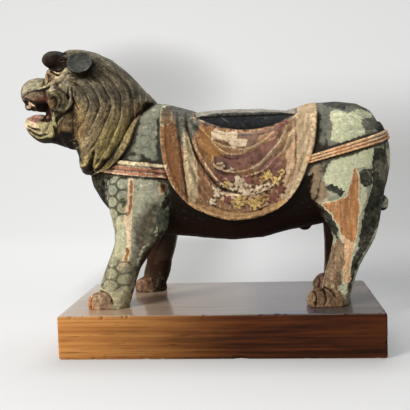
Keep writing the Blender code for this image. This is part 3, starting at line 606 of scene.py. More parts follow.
paint = {
    "rump grey": coat((118, 117, 103), (92, 92, 82), 10, 4, outlines=[
        [(100, 370), (262, 370), (262, 276), (240, 288), (128, 262), (100, 255)],
    ]),
    # Darker celadon on the neck, partly paint and partly painted shade under the mane
    "neck": coat((132, 132, 114), (108, 110, 96), 9, 7, outlines=[
        [(-150, 262), (-76, 262), (-72, 300), (-70, 360), (-110, 360), (-120, 320), (-134, 284)],
        [(-160, 246), (-124, 246), (-128, 205), (-160, 205)],
    ]),
    "leg celadon": coat((176, 170, 140), (146, 146, 118), 12, 6, outlines=[
        [(-152, 190), (-130, 190), (-131, 130), (-140, 80), (-182, 84), (-160, 140)],
    ]),
    "ankle": coat((152, 148, 118), (122, 118, 96), 14, 8, outlines=[
        [(-196, 128), (-120, 142), (-112, 56), (-200, 56)],
        [(-150, 224), (-128, 216), (-122, 190), (-154, 196)],
    ]),
    # Painted shade down the front edge of the near front leg
    "leg edge shade": coat((128, 126, 104), (104, 104, 86), 4, 3, strokes=[
        ([(-150, 198), (-150, 172), (-154, 150), (-163, 126), (-173, 100)], 3),
    ]),
    "light celadon": coat((190, 188, 154), (174, 178, 150), 5, 0.35, outlines=[
        [(166, 338), (183, 330), (206, 336), (222, 326), (201, 320), (206, 302), (190, 291), (167, 288),
         (157, 293), (161, 314), (158, 327)],
        [(145, 268), (164, 271), (186, 276), (217, 282), (220, 267), (211, 255), (189, 254), (184, 235),
         (177, 215), (166, 218), (148, 236), (146, 253)],
        [(197, 235), (204, 229), (206, 210), (197, 193), (193, 171), (191, 146), (194, 194), (196, 216)],
        [(181, 130), (190, 138), (191, 129), (181, 106), (177, 78), (168, 78), (172, 92), (178, 99)],
        [(227, 280), (246, 278), (251, 262), (245, 250), (228, 256), (225, 269)],
    ]),
    "dark paint": coat((64, 65, 56), (25, 26, 23), 6, 0.5, outlines=[
        [(215, 282), (234, 280), (247, 247), (239, 204), (217, 164), (193, 123), (180, 81), (175, 85),
         (184, 124), (192, 146), (198, 180), (208, 210), (213, 226), (213, 251)],
        [(195, 249), (204, 254), (214, 251), (213, 229), (201, 228), (195, 238)],
        [(146, 230), (158, 233), (171, 225), (178, 222), (170, 216), (155, 221)],
        [(131, 211), (145, 204), (161, 186), (167, 166), (165, 151), (159, 164), (151, 181), (140, 193),
         (126, 199)],
        [(-73, 244), (-60, 233), (-58, 208), (-67, 172), (-86, 144), (-107, 118), (-123, 71), (-132, 67),
         (-119, 116), (-108, 146), (-98, 163), (-93, 181), (-83, 199), (-77, 216), (-69, 227)],
    ]),
    "fore shade": coat((88, 84, 68), (62, 58, 48), 8, 10, outlines=[
        [(-121, 180), (-113, 196), (-100, 209), (-82, 219), (-86, 186), (-94, 160), (-106, 143),
         (-119, 110), (-126, 100), (-124, 129), (-122, 155)],
    ]),
    "elbow flakes": coat((176, 172, 146), (128, 132, 112), 5, 0.4, strokes=[
        ([(-69, 210), (-76, 196), (-85, 184), (-88, 171), (-94, 155), (-105, 151), (-113, 138),
          (-118, 124)], 1.5),
    ]),
    "elbow patch": coat((84, 88, 76), (58, 62, 54), 6, 0.5, outlines=[
        [(-83, 202), (-73, 198), (-69, 182), (-78, 166), (-84, 171), (-89, 185)],
    ]),
    "dark lump": coat((114, 108, 92), (60, 58, 50), 7, 0.8, outlines=[
        [(216, 262), (232, 268), (246, 250), (240, 226), (226, 236), (218, 248)],
    ], strokes=[
        ([(197, 247), (204, 250), (210, 245), (208, 236)], 1.2), ([(200, 241), (204, 238)], 0.8),
    ]),
    "rump speckle": coat((62, 62, 54), (38, 39, 35), 13, 0.5, sprigs=True, shrink=4, outlines=[
        [(148, 354), (148, 340), (170, 332), (190, 336), (214, 330), (222, 338), (205, 352)],
        [(222, 330), (240, 320), (244, 270), (232, 268), (226, 300)],
    ]),
    "haunch brown": coat((150, 130, 104), (118, 100, 80), 7, 1, outlines=[
        [(128, 264), (145, 261), (145, 239), (155, 217), (145, 207), (129, 209), (124, 236)],
    ]),
    "bare wood": coat((182, 128, 82), (134, 94, 62), 5, 0.35, rim=1.6, wood=0.35, outlines=[
        [(189, 254), (193, 249), (194, 227), (194, 196), (191, 166), (187, 145), (173, 145), (169, 171),
         (158, 191), (145, 205), (163, 208), (178, 215), (185, 235)],
    ]),
    "peach strip": coat((204, 186, 154), (178, 152, 120), 3.5, 0.5, outlines=[
        [(-126, 250), (-118, 249), (-117, 242), (-119, 220), (-121, 200), (-123, 178), (-124, 165),
         (-125, 146), (-128, 131), (-135, 124), (-142, 117), (-140, 129), (-136, 139), (-132, 152),
         (-131, 168), (-134, 184), (-133, 200), (-129, 211), (-127, 229)],
        [(-85, 232), (-82, 240), (-78, 243), (-71, 237), (-71, 231), (-77, 223), (-84, 221)],
    ]),
    "chip heart": coat((160, 108, 66), (116, 82, 54), 2.5, 0.5, outlines=[
        [(-82, 231), (-78, 239), (-75, 235), (-78, 225), (-83, 225)],
    ], strokes=[
        ([(-122, 244), (-122, 229), (-123, 214), (-126, 198)], 1.9), ([(-130, 148), (-133, 134)], 2.4),
    ]),
    "chest spot": coat((84, 84, 66), (58, 58, 46), 3, 0.6, outlines=[
        [(-139, 219), (-132, 220), (-131, 211), (-134, 205), (-138, 212)],
    ]),
    "shank chip": coat((206, 180, 142), (176, 116, 76), 5, 0.4, rim=1.4, wood=0.7, outlines=[
        [(172, 160), (188, 147), (181, 124), (180, 96), (173, 93), (172, 124)],
    ]),
    "shank": coat((134, 108, 82), (76, 60, 46), 7, 1, wood=0.35, outlines=[
        [(164, 156), (174, 150), (173, 124), (168, 94), (160, 80), (142, 80), (151, 122)],
    ]),
    # Worn paint and painted highlight along the top of the back
    "seat ridge wear and highlight": coat((150, 143, 132), (116, 110, 100), 2.5, 0.8, outlines=[
        [(-36, 333), (-36, 364), (112, 364), (112, 328), (60, 326), (0, 326)],
    ]),
    "seat": coat((15, 18, 22), (30, 33, 35), 2, 1, outlines=[
        [(-30, 332), (-4, 337), (47, 336.5), (90, 336), (113, 331), (102, 325), (89, 317), (64, 309),
         (33, 308), (8, 310), (-8, 318)],
    ]),
    # Dark paint and painted shade on the belly
    "belly": coat((20, 11, 5), (11, 7, 4), 5, 2, outlines=[
        [(-66, 236), (-40, 216), (-20, 204), (23, 190), (80, 204), (122, 246), (134, 250), (130, 214),
         (150, 180), (118, 140), (-70, 140), (-70, 180)],
    ]),
    "chest shadow": coat((18, 13, 9), (12, 9, 6), 5, 3, outlines=[
        [(-204, 268), (-166, 256), (-162, 240), (-167, 222), (-160, 198), (-190, 205), (-206, 240)],
    ]),
    "saddle cloth": coat((142, 104, 74), (110, 80, 58), 0.8, 0.4, wood=0.5, outlines=[clothOutline]),
    "front flap": coat((124, 83, 52), (98, 68, 44), 3, 0.8, wood=0.12, outlines=[
        [(-90, 335), (-56, 322), (-50, 286), (-45, 251), (-42, 200), (-56, 205), (-84, 240), (-88, 290)],
    ]),
    "flap top": coat((96, 94, 84), (58, 56, 50), 7, 3, outlines=[
        [(-92, 375), (-20, 375), (-16, 330), (-24, 318), (-34, 300), (-44, 284), (-52, 292), (-58, 318),
         (-64, 338), (-90, 343)],
    ]),
    "flap tab": coat((116, 96, 70), (84, 66, 48), 3, 0.6, outlines=[
        [(-84, 344), (-66, 344), (-67, 323), (-77, 321), (-85, 330)],
    ]),
    "pleats": coat((188, 168, 132), (128, 112, 88), 6, 1.2, outlines=[
        [(-48, 312), (-40, 311), (-34, 286), (-29, 262), (-25, 246), (-28, 232), (-30, 214), (-37, 207),
         (-43, 226), (-46, 250), (-47, 280)],
    ]),
    "ochre": coat((150, 108, 64), (122, 84, 52), 5, 2, outlines=[
        [(-24, 318), (-8, 316), (-4, 304), (4, 288), (12, 276), (0, 270), (-10, 268), (-20, 278),
         (-28, 300)],
    ]),
    "cloth top": coat((92, 66, 58), (70, 50, 46), 3, 0.8, strokes=[
        ([(-20, 322), (0, 317), (20, 315), (45, 316), (60, 318)], 2.2),
    ]),
    "rear fold": coat((180, 157, 126), (152, 129, 100), 5, 1.2, outlines=[
        [(108, 375), (146, 375), (146, 306), (138, 270), (122, 236), (96, 206), (86, 214), (104, 240),
         (110, 267), (111, 300)],
    ]),
    "orange band": coat((196, 170, 136), (168, 130, 98), 6, 1, outlines=[
        [(95, 282), (103, 306), (111, 322), (110, 300), (109, 262), (100, 234), (86, 214), (74, 206),
         (64, 204), (81, 220), (93, 243), (97, 262)],
    ]),
    "hem": coat((170, 136, 94), (140, 104, 72), 3, 0.8, outlines=[
        [(-45, 213), (-26, 208), (-9, 204), (16, 197), (44, 195), (70, 203), (92, 214), (100, 206),
         (72, 180), (24, 176), (-26, 186), (-50, 200)],
    ]),
    "mauve": coat((150, 120, 100), (120, 92, 80), 7, 0.6, outlines=[
        [(14, 309), (64, 309), (98, 320), (94, 308), (72, 296), (47, 289), (34, 289), (34, 300), (23, 300)],
        [(60, 291), (72, 287), (86, 292), (92, 282), (82, 274), (66, 270)],
    ]),
    "maroon": coat((124, 88, 76), (92, 64, 56), 8, 0.6, outlines=[
        [(-5, 275), (12, 278), (36, 276), (52, 284), (72, 296), (88, 310), (94, 306), (82, 288), (66, 268),
         (54, 260), (36, 255), (14, 256), (-3, 262)],
        [(60, 261), (72, 270), (84, 275), (94, 270), (96, 258), (80, 240), (60, 236), (52, 246)],
        [(-4, 256), (12, 252), (30, 248), (46, 246), (50, 232), (30, 226), (8, 230), (-6, 240)],
    ]),
    "gesso": coat((214, 196, 164), (196, 174, 142), 3, 0.35, outlines=[
        [(-8, 309), (-2, 314), (8, 310), (15, 308), (30, 310), (29, 299), (44, 298), (40, 288), (23, 286),
         (17, 292), (12, 298), (-7, 299)],
    ]),
    "peeled": coat((186, 146, 114), (152, 114, 86), 4, 0.5, wood=0.35, outlines=[
        [(60, 301), (72, 308), (84, 310), (86, 303), (78, 295), (66, 292), (54, 293)],
    ]),
    "petals": coat((206, 184, 150), (170, 134, 106), 17, 0.5, sprigs=True, shrink=12, outlines=[
        [(-4, 256), (20, 250), (34, 246), (60, 246), (92, 248), (100, 232), (76, 212), (60, 198), (24, 192),
         (0, 204), (-14, 226)],
    ]),
    "flower shade": coat((84, 60, 48), (60, 44, 36), 2.5, 0.6, outlines=[
        blossom(x + 0.6, z - 0.8, size + 1.6, count) for x, z, size, count in whites + golds + roses
    ]),
    "rose flowers": coat((140, 84, 76), (108, 64, 60), 3, 0.6, outlines=[
        blossom(*flower) for flower in roses
    ], strokes=[
        ([(50, 317), (62, 315), (75, 317)], 2.2), ([(84, 310), (92, 316), (99, 324), (106, 330)], 3.4),
    ]),
    "gold flowers": coat((206, 178, 112), (160, 124, 70), 4, 0.5, outlines=[
        blossom(*flower) for flower in golds
    ]),
    "white flowers": coat((214, 200, 172), (174, 152, 124), 4, 0.5, outlines=[
        blossom(*flower) for flower in whites
    ]),
    "petal veins": coat((132, 98, 74), (96, 68, 54), 0.8, 0.4, strokes=[
        vein for flower in whites + golds + roses for vein in veins(*flower)
    ]),
    "flower hearts": coat((120, 84, 58), (90, 62, 46), 2, 0.5, strokes=[
        flowerHeart(*flower) for flower in whites + golds
    ]),
    "fold pale": coat((172, 148, 116), (130, 104, 80), 4, 1.4, strokes=[
        ([(50, 258), (61, 263), (75, 277), (90, 293), (100, 315)], 2.8),
        ([(28, 284), (50, 286), (66, 294)], 1.6),
    ]),
    "fold lights": coat((178, 158, 126), (150, 128, 98), 3.2, 0.4, strokes=[
        *crease(0.55, "fold A", "fold A low", "fold B", "fold C", "fold D"),
        ([(109, 330), (106, 306), (100, 282)], 1.2), ([(102, 306), (96, 286), (92, 276)], 0.9),
        ([(-20, 270), (-12, 257), (-2, 244), (7, 236)], 1.1), ([(-35, 300), (-28, 282)], 0.8),
    ]),
    "fold shadows": coat((78, 58, 44), (60, 46, 36), 3, 0.8, strokes=[
        *crease(0.15, "under A", "under B", "under C", "flap groove", "rear edge"), *crease(0.9, "cloth edge"),
    ]),
    "cloth rim": coat((196, 184, 152), (150, 148, 132), 2.5, 0.4, strokes=[
        ([(-62, 356), (-77, 350), (-83, 335), (-82, 308), (-79, 273), (-72, 249), (-62, 231)], 1.2),
        ([(-84, 331), (-77, 321), (-68, 323)], 0.7), ([(-66, 344), (-66, 324)], 0.5),
    ]),
    "seat line": coat((112, 110, 102), (84, 84, 80), 1.2, 0.4, strokes=[
        ([(5, 331), (18, 322)], 0.4), ([(78, 334), (64, 323)], 0.4),
        ([(-9, 312), (8, 306), (33, 304), (64, 305), (92, 315), (108, 325)], 0.6),
    ]),
    "breast strap": coat((150, 96, 76), (120, 82, 66), 2.4, 0.4, outlines=[
        band(breastStrap, 0, 0.66, -232, -68),
    ]),
    "breast olive": coat((202, 186, 156), (160, 142, 112), 3, 0.4, outlines=[
        band(breastStrap, 0.7, 1.0, -232, -70),
    ]),
    "breast cream": coat((212, 190, 160), (178, 150, 122), 3, 0.4, outlines=[
        band(breastStrap, 0.0, 0.13, -232, -68), band(breastStrap, 0.3, 0.37, -232, -68),
        band(breastStrap, 0.63, 0.7, -150, -68),
    ]),
    "breeching": coat((190, 138, 96), (200, 164, 126), 1.6, 0.4, outlines=[
        band(breeching, 0, 1, 124, 262),
    ]),
    "breeching cream": coat((214, 188, 154), (200, 160, 124), 3.2, 0.4, outlines=[
        band(breeching, 0.0, 0.1, 124, 262), band(breeching, 0.3, 0.38, 124, 262),
        band(breeching, 0.64, 0.74, 124, 262), band(breeching, 0.5, 1.0, 208, 262),
    ]),
    "mane": coat((132, 114, 84), (94, 82, 61), 0.6, 0.6),
    "mane grey": coat((98, 90, 74), (66, 61, 50), 12, 8),
    "mane warm": coat((150, 119, 77), (94, 75, 49), 12, 8),
    "mane yellow": coat((138, 121, 75), (96, 85, 52), 12, 8),
    "face": coat((124, 114, 92), (88, 80, 60), 7, 4, outlines=[
        [(-330, 470), (-250, 455), (-222, 430), (-216, 400), (-211, 372), (-209, 348), (-211, 322),
         (-217, 296), (-235, 285), (-330, 280)],
    ]),
    "jaw": coat((156, 144, 106), (130, 122, 86), 3, 1.5, outlines=[
        [(-300, 338), (-262, 335), (-250, 343), (-240, 336), (-243, 318), (-250, 300), (-300, 296)],
    ]),
    "muzzle": coat((108, 94, 72), (78, 62, 48), 5, 2.5, outlines=[
        [(-292, 371), (-280, 376), (-267, 379), (-251, 380), (-243, 382), (-247, 366), (-262, 360),
         (-284, 352), (-292, 360)],
    ]),
    "nose": coat((138, 132, 106), (94, 89, 80), 4, 1.2, outlines=[
        [(-304, 366), (-292, 370), (-280, 376), (-267, 379), (-251, 380), (-246, 386), (-248, 406),
         (-304, 406)],
    ]),
    "nose side": coat((92, 86, 82), (70, 64, 60), 6, 1.5, strokes=[
        ([(-286, 403), (-297, 391), (-300, 378), (-294, 364)], 9), ([(-256, 400), (-246, 392)], 2.5),
    ]),
    "nose patch": coat((158, 148, 110), (134, 126, 96), 5, 0.8, outlines=[
        [(-266, 390), (-256, 392), (-248, 386), (-251, 380), (-264, 381)],
    ]),
    "muzzle red": coat((88, 48, 36), (58, 32, 25), 5, 1.5, outlines=[
        [(-278, 362), (-264, 370), (-249, 371), (-243, 360), (-254, 353), (-270, 356)],
    ]),
    "cheekbone": coat((200, 184, 154), (150, 137, 112), 6, 1.5, outlines=[
        [(-250, 379), (-233, 385), (-226, 394), (-221, 410), (-208, 407), (-212, 396), (-222, 386),
         (-232, 378), (-242, 376)],
    ]),
    "eye skin": coat((148, 126, 98), (112, 90, 68), 3, 1.2, outlines=[
        [(-250, 408), (-240, 411), (-227, 408), (-220, 401), (-226, 393), (-236, 388), (-245, 386),
         (-256, 395)],
    ]),
    "brow": coat((50, 45, 35), (20, 16, 11), 5, 1, outlines=[
        [(-256, 423), (-252, 434), (-244, 438), (-226, 440), (-219, 430), (-218, 412), (-224, 409),
         (-234, 408), (-244, 410), (-252, 411), (-257, 417)],
    ]),
    "brow core": coat((22, 14, 8), (12, 8, 5), 4, 1.5, outlines=[
        [(-246, 427), (-233, 429), (-221, 429), (-214, 420), (-216, 409), (-230, 406), (-243, 410),
         (-249, 414), (-249, 421)],
    ]),
    "cheek brown": coat((106, 84, 54), (50, 39, 23), 11, 2, outlines=[
        [(-227, 344), (-216, 352), (-204, 350), (-197, 325), (-198, 300), (-216, 290), (-238, 298),
         (-245, 311), (-239, 324), (-234, 334)],
    ]),
    "cheek hollow": coat((54, 56, 30), (26, 26, 15), 3, 1.5, outlines=[
        [(-242, 345), (-232, 345), (-224, 342), (-232, 334), (-236, 324), (-241, 314), (-240, 326),
         (-238, 336)],
    ]),
    "cheek ridges": coat((164, 154, 112), (128, 120, 82), 2.2, 0.8, strokes=[
        ([(-244, 351), (-239, 335), (-241, 321), (-253, 309)], 1.6),
        ([(-216, 354), (-221, 344), (-231, 335), (-237, 327)], 1.5),
    ]),
    "curl": coat((62, 58, 38), (30, 27, 17), 3, 0.8, outlines=[disc(curl["centre"], curl["radius"] + 1.5)]),
    # Painted highlight on the upper lid and a painted glint on the eyeball
    "eye highlight": coat((214, 196, 164), (180, 160, 130), 1.5, 0.5, strokes=[
        ([(-244, 408), (-237, 404), (-229, 402)], 1.5), ([(-232, 396), (-228, 394)], 1.6),
    ]),
    # Painted highlight along the top of the curl's outer ring
    "curl ring highlight": coat((140, 128, 92), (104, 96, 66), 2.5, 0.6, strokes=[
        ([(-240, 373), (-233, 373), (-227, 367), (-225, 358), (-228, 349)], 1.2),
    ]),
    "curl centre": coat((40, 26, 15), (84, 60, 36), 3, 1, outlines=[
        [(-245, 366), (-238, 368), (-233, 363), (-232, 353), (-239, 349), (-246, 356)],
    ]),
    "mouth": coat((50, 26, 20), (26, 14, 10), 2, 1, outlines=[
        [(-271, 358), (-262, 359), (-251, 360), (-244, 356), (-240, 348), (-244, 338), (-253, 331),
         (-264, 334), (-262, 342), (-262, 349), (-270, 351), (-272, 355)],
    ]),
    "fang": coat((192, 166, 140), (166, 136, 114), 1.5, 0.6, outlines=[
        [(-286, 359), (-279, 364), (-273, 360), (-270, 353), (-276, 348), (-285, 350)],
    ]),
    "lip": coat((188, 166, 136), (164, 140, 110), 2.5, 1, outlines=[
        [(-294, 334), (-275, 335), (-265, 330), (-267, 321), (-281, 321), (-292, 326)],
    ]),
    "tongue": coat((146, 104, 96), (120, 86, 78), 3, 0.8, outlines=[
        [(-292, 350), (-276, 350), (-266, 343), (-265, 334), (-270, 331), (-280, 335), (-290, 339)],
    ]),
    # Painted shade around the side of the ears
    "ear side shade": coat((20, 15, 9), (12, 9, 6), 1.5, 1),
    "ear": coat((80, 80, 75), (52, 54, 50), 1.2, 0.6),
    # Painted shade along the carved creases of the face
    "crease shade": coat((36, 26, 17), (26, 19, 12), 1.4, 0.5, strokes=[
        *crease(0.8, "lip", "nose", "eye slit", "jaw fold A", "jaw fold B", "crack A", "crack B", "brow notch"),
        *crease(0.8, "cheek groove"), *crease(2.2, "nostril"), *crease(1.6, "eye top"),
        ([(-242, 405), (-236, 401.5), (-229, 398), (-224, 398.5)], 1.1),
    ]),
    # Painted shade under the jaw and down the throat
    "throat shade": coat((9, 6, 4), (5, 4, 3), 6, 4, outlines=[
        [(-256, 305), (-242, 313), (-226, 319), (-210, 316), (-196, 300), (-194, 272), (-222, 272),
         (-266, 284)],
    ]),
    "front paw": coat((172, 112, 64), (108, 72, 48), 6, 0.6, wood=0.8, side=-1, outlines=[
        [(-202, 56), (-202, 84), (-190, 88), (-181, 82), (-179, 64), (-160, 60), (-150, 56)],
    ]),
    "far paws": coat((112, 80, 62), (58, 40, 28), 6, 0.6, side=1, outlines=[
        [(-64, 56), (-152, 56), (-154, 80), (-128, 92), (-100, 110), (-64, 104)],
        [(188, 56), (132, 56), (134, 80), (155, 88), (174, 76)],
    ]),
    "far heel": coat((40, 28, 20), (24, 17, 12), 3, 1, side=1, outlines=[
        [(-64, 56), (-112, 56), (-115, 76), (-120, 96), (-100, 112), (-64, 108)],
    ]),
    "toe": coat((154, 126, 100), (104, 82, 64), 3, 0.6, outlines=[
        [(-183, 84), (-170, 88), (-157, 82), (-152, 72), (-158, 62), (-173, 60), (-183, 68)],
    ]),
    "toe rim": coat((208, 194, 162), (170, 150, 120), 2, 0.5, strokes=[
        ([(-192, 80), (-182, 87), (-169, 89), (-158, 83), (-153, 73)], 1.3),
    ]),
    "hind paw": coat((126, 98, 72), (70, 48, 34), 5, 1.2, side=-1, outlines=[
        [(116, 56), (118, 80), (139, 86), (160, 88), (172, 78), (176, 56)],
    ]),
    # Painted shade in the grooves between the toes
    "toe crease shade": coat((44, 26, 16), (30, 18, 12), 2.2, 0.5, strokes=[
        *crease(0.7, "hind toe arch", "hind toe A", "hind toe B", "front claw", "front toe"),
    ]),
}


# Painted scales stand in rows around an upright line through the chest. An area has the strength of its scales.
scales = {
    "size": 17, "girth": 62, "middleX": -108, "rowStart": 0.135, "columnStart": 0.954, "columnHalf": 0.866,
    "edge": 0.445,
    "areas": [
        (1.0, [(-200, 250), (-128, 250), (-128, 196), (-158, 192), (-200, 200)]),
        (0.6, [(-176, 134), (-122, 134), (-126, 84), (-176, 88)]),
        (0.4, [(-132, 262), (-84, 262), (-86, 330), (-112, 322), (-128, 290)]),
    ],
}
maneTones = {
    "greyFrom": 352,
    "warm": [(-222, 360), (-196, 356), (-188, 336), (-186, 314), (-198, 294), (-222, 300), (-232, 330)],
    "yellow": [
        (-177, 292), (-168, 313), (-154, 322), (-132, 328), (-112, 322), (-140, 280), (-165, 254), (-190, 250),
        (-196, 276),
    ],
}
names = list(paint)
clothCoats = names[names.index("front flap"):names.index("cloth rim") + 1]
wearCoats = (
    "peach strip", "chip heart", "chest spot", "light celadon", "dark paint", "elbow flakes", "elbow patch",
    "dark lump", "haunch brown", "bare wood", "shank", "shank chip",
)
farWear = {"forward": 3, "swayX": (9, 21), "swayZ": (7, 26)}


def depthOf(outlines, x, z):
    return np.max([depthInside(x, z, outline) for outline in outlines], axis=0)


def maneZones(x, y, z):
    mane = np.minimum(
        depthInside(x, z, curveThrough(maneOutline, closed=True)),
        -0.3 * depthInside(x, z, curveThrough(faceOutline, closed=True, steps=3)),
    )
    along, radial = fromEar(x, y, z)
    return {
        "mane": mane,
        "mane grey": np.minimum(mane, (z - maneTones["greyFrom"]) * 0.8),
        "mane warm": np.minimum(mane, depthInside(x, z, maneTones["warm"])),
        "mane yellow": np.minimum(mane, depthInside(x, z, maneTones["yellow"])),
        # Painted shade around the side of the ears
        "ear side shade": np.minimum(ear["radius"] + 2 - radial, along + 6),
        "ear": np.minimum(ear["radius"] - 0.8 - radial, (along - 10) * 2),
    }


def paintDepths(points):
    x, y, z = points.T
    # The far side wears in the same places, but not as a mirror image
    (swayX, waveX), (swayZ, waveZ) = farWear["swayX"], farWear["swayZ"]
    wornX = np.where(y > 0, x + swayX * np.sin(z / waveX + 1) + farWear["forward"], x)
    wornZ = np.where(y > 0, z + swayZ * np.sin(x / waveZ), z)
    depths = maneZones(x, y, z)
    for name, layer in paint.items():
        if name in depths:
            continue
        px, pz = (wornX, wornZ) if name in wearCoats else (x, z)
        found = [half - nearPath(px, pz, path)[0] for path, half in layer["strokes"]]
        if layer["outlines"]:
            found.append(depthOf(layer["outlines"], px, pz) - layer.get("shrink", 0))
        depths[name] = np.max(found, axis=0)
        if "side" in layer:
            depths[name] = np.minimum(depths[name], layer["side"] * y)
        if name in clothCoats:
            depths[name] = np.minimum(depths[name], depths["saddle cloth"])
    shares = [share * smooth(depthInside(x, z, outline), -6, 6) for share, outline in scales["areas"]]
    depths["scales"] = np.max(shares, axis=0)
    return depths


def ridges(points, normals, ends, passes):
    # How far each point stands out from its smoothed surroundings
    count = len(points)
    a, b = ends.T

    def around(values):
        return np.bincount(a, values[b], count) + np.bincount(b, values[a], count)

    shares = around(np.ones(count))
    soft = points.copy()
    for _ in range(passes):
        soft = np.stack([around(soft[:, i]) for i in range(3)], axis=1) / shares[:, None]
    return np.einsum("ij,ij->i", points - soft, normals)


def sootOn(points, normals):
    # Painted shade, with some dark paint, on faces turned down or inward: the belly, the inner legs and under the
    # chin
    x, y, z = points.T
    inward = smooth(-normals[:, 1] * np.sign(y), 0.05, 0.6)
    inward = inward * smooth(z, 300, 250) * (0.3 + 0.7 * smooth(z, 82, 104))
    down = smooth(-normals[:, 2], 0.15, 0.7) * smooth(z, 66, 80)
    return np.clip(inward + down, 0, 1)


def store(mesh, name, values):
    attribute = mesh.attributes.new(name, "FLOAT", "POINT")
    attribute.data.foreach_set("value", values.astype(np.float32))


def lion():
    block = bmesh.new()
    roughBody(block)
    roughPaws(block)
    roughHead(block)
    mesh = bpy.data.meshes.new("rough lion")
    block.to_mesh(mesh)
    block.free()
    mesh = evaluated(mesh, [
        ("REMESH", {"mode": "VOXEL", "voxel_size": carving["voxel"], "use_smooth_shade": True}),
        ("SMOOTH", {"factor": 0.5, "iterations": carving["smoothPasses"]}),
    ])
    points, normals = pointsOf(mesh), pointsOf(mesh, "normal")
    print("rough lion", len(points), "points")
    points += normals * carve(points, normals, carving["voxel"] / 2)[:, None]
    mesh.vertices.foreach_set("co", points.ravel())
    mesh.update()
    print("lion carved")
    mesh = evaluated(mesh, [("DECIMATE", {"ratio": carving["triangles"] / (2 * len(mesh.polygons))})])
    flatSoles(mesh)
    points, normals = pointsOf(mesh), pointsOf(mesh, "normal")
    ends = np.empty(len(mesh.edges) * 2, np.int32)
    mesh.edges.foreach_get("vertices", ends)
    ends = ends.reshape(-1, 2)
    for name, depth in paintDepths(points).items():
        store(mesh, name, depth)
    store(mesh, "fine ridge", ridges(points, normals, ends, 3))
    store(mesh, "broad ridge", ridges(points, normals, ends, 24))
    store(mesh, "soot", sootOn(points, normals))
    x, y, z = points.T
    store(mesh, "lock share", lockShare(x, z) + rough(points, 26, 3) * 0.014)
    store(mesh, "lock turn", np.arctan2(z - locks["centre"][1], x - locks["centre"][0]))
    behind, girth = x - scales["middleX"], scales["girth"]
    turned, straight = girth * np.arctan2(y, -behind), girth * math.pi / 2 * np.sign(y) + behind * -np.sign(y)
    store(mesh, "around", np.where(behind < 0, turned, straight))
    mesh.transform(Matrix.Diagonal((0.001, 0.001, 0.001, 1)))
    mesh.transform(Matrix.Translation((0, 0, carving["footGap"] / 1000)))
    for face in mesh.polygons:
        face.use_smooth = True
    mesh.materials.clear()
    mesh.materials.append(paintedWood())
    made = bpy.data.objects.new("carved_lion", mesh)
    bpy.context.scene.collection.objects.link(made)
    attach(made, "root")
    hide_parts("lion")
    print("lion", len(mesh.polygons), "triangles")


# Shader maths

def linear(colour):
    return tuple((c / 255 / 12.92) if c <= 10 else ((c / 255 + 0.055) / 1.055) ** 2.4 for c in colour)


class Value:
    # A number socket that can stand in a Python expression

    def __init__(self, sheet, socket):
        self.sheet, self.socket = sheet, socket

    def maths(self, operation, *others):
        node = self.sheet.node("ShaderNodeMath", {"operation": operation}, dict(enumerate((self, *others))))
        return Value(self.sheet, node.outputs[0])

    def __add__(self, other):
        return self.maths("ADD", other)

    __radd__ = __add__

    def __sub__(self, other):
        return self.maths("SUBTRACT", other)

    def __rsub__(self, other):
        return (self * -1) + other

    def __mul__(self, other):
        return self.maths("MULTIPLY", other)

    __rmul__ = __mul__

    def smooth(self, start, end):
        settings = {"interpolation_type": "SMOOTHSTEP"}
        node = self.sheet.node("ShaderNodeMapRange", settings, {0: self, 1: start, 2: end})
        return Value(self.sheet, node.outputs[0])


class Sheet:
    # One material's nodes

    def __init__(self, name):
        self.material = bpy.data.materials.new(name)
        self.material.use_nodes = True
        self.tree = self.material.node_tree
        self.shader = self.tree.nodes["Principled BSDF"]
        self.place = self.node("ShaderNodeTexCoord", {}, {}).outputs["Object"]

    def node(self, kind, settings, inputs):
        made = self.tree.nodes.new(kind)
        for name, value in settings.items():
            setattr(made, name, value)
        for name, value in inputs.items():
            self.feed(made.inputs[name], value)
        return made

    def feed(self, socket, value):
        value = value.socket if isinstance(value, Value) else value
        if isinstance(value, bpy.types.NodeSocket):
            self.tree.links.new(value, socket)
        elif socket.type == "RGBA":
            socket.default_value = (*value, 1)
        else:
            socket.default_value = value

    def noise(self, scale, detail, stretch=(1, 1, 1), distortion=0.0, roughness=0.55):
        spot = self.node("ShaderNodeMapping", {}, {"Vector": self.place, "Scale": stretch}).outputs[0]
        inputs = {"Scale": scale, "Detail": detail, "Distortion": distortion, "Roughness": roughness}
        return Value(self, self.node("ShaderNodeTexNoise", {}, {"Vector": spot, **inputs}).outputs[0])

    def zone(self, name):
        return Value(self, self.node("ShaderNodeAttribute", {"attribute_name": name}, {}).outputs["Fac"])

    def mix(self, share, first, second, blend="MIX"):
        settings = {"data_type": "RGBA", "blend_type": blend, "clamp_factor": True}
        return self.node("ShaderNodeMix", settings, {0: share, 6: first, 7: second}).outputs[2]

    def bump(self, height, strength, distance):
        inputs = {"Height": height, "Strength": strength, "Distance": distance}
        return self.node("ShaderNodeBump", {}, inputs).outputs[0]


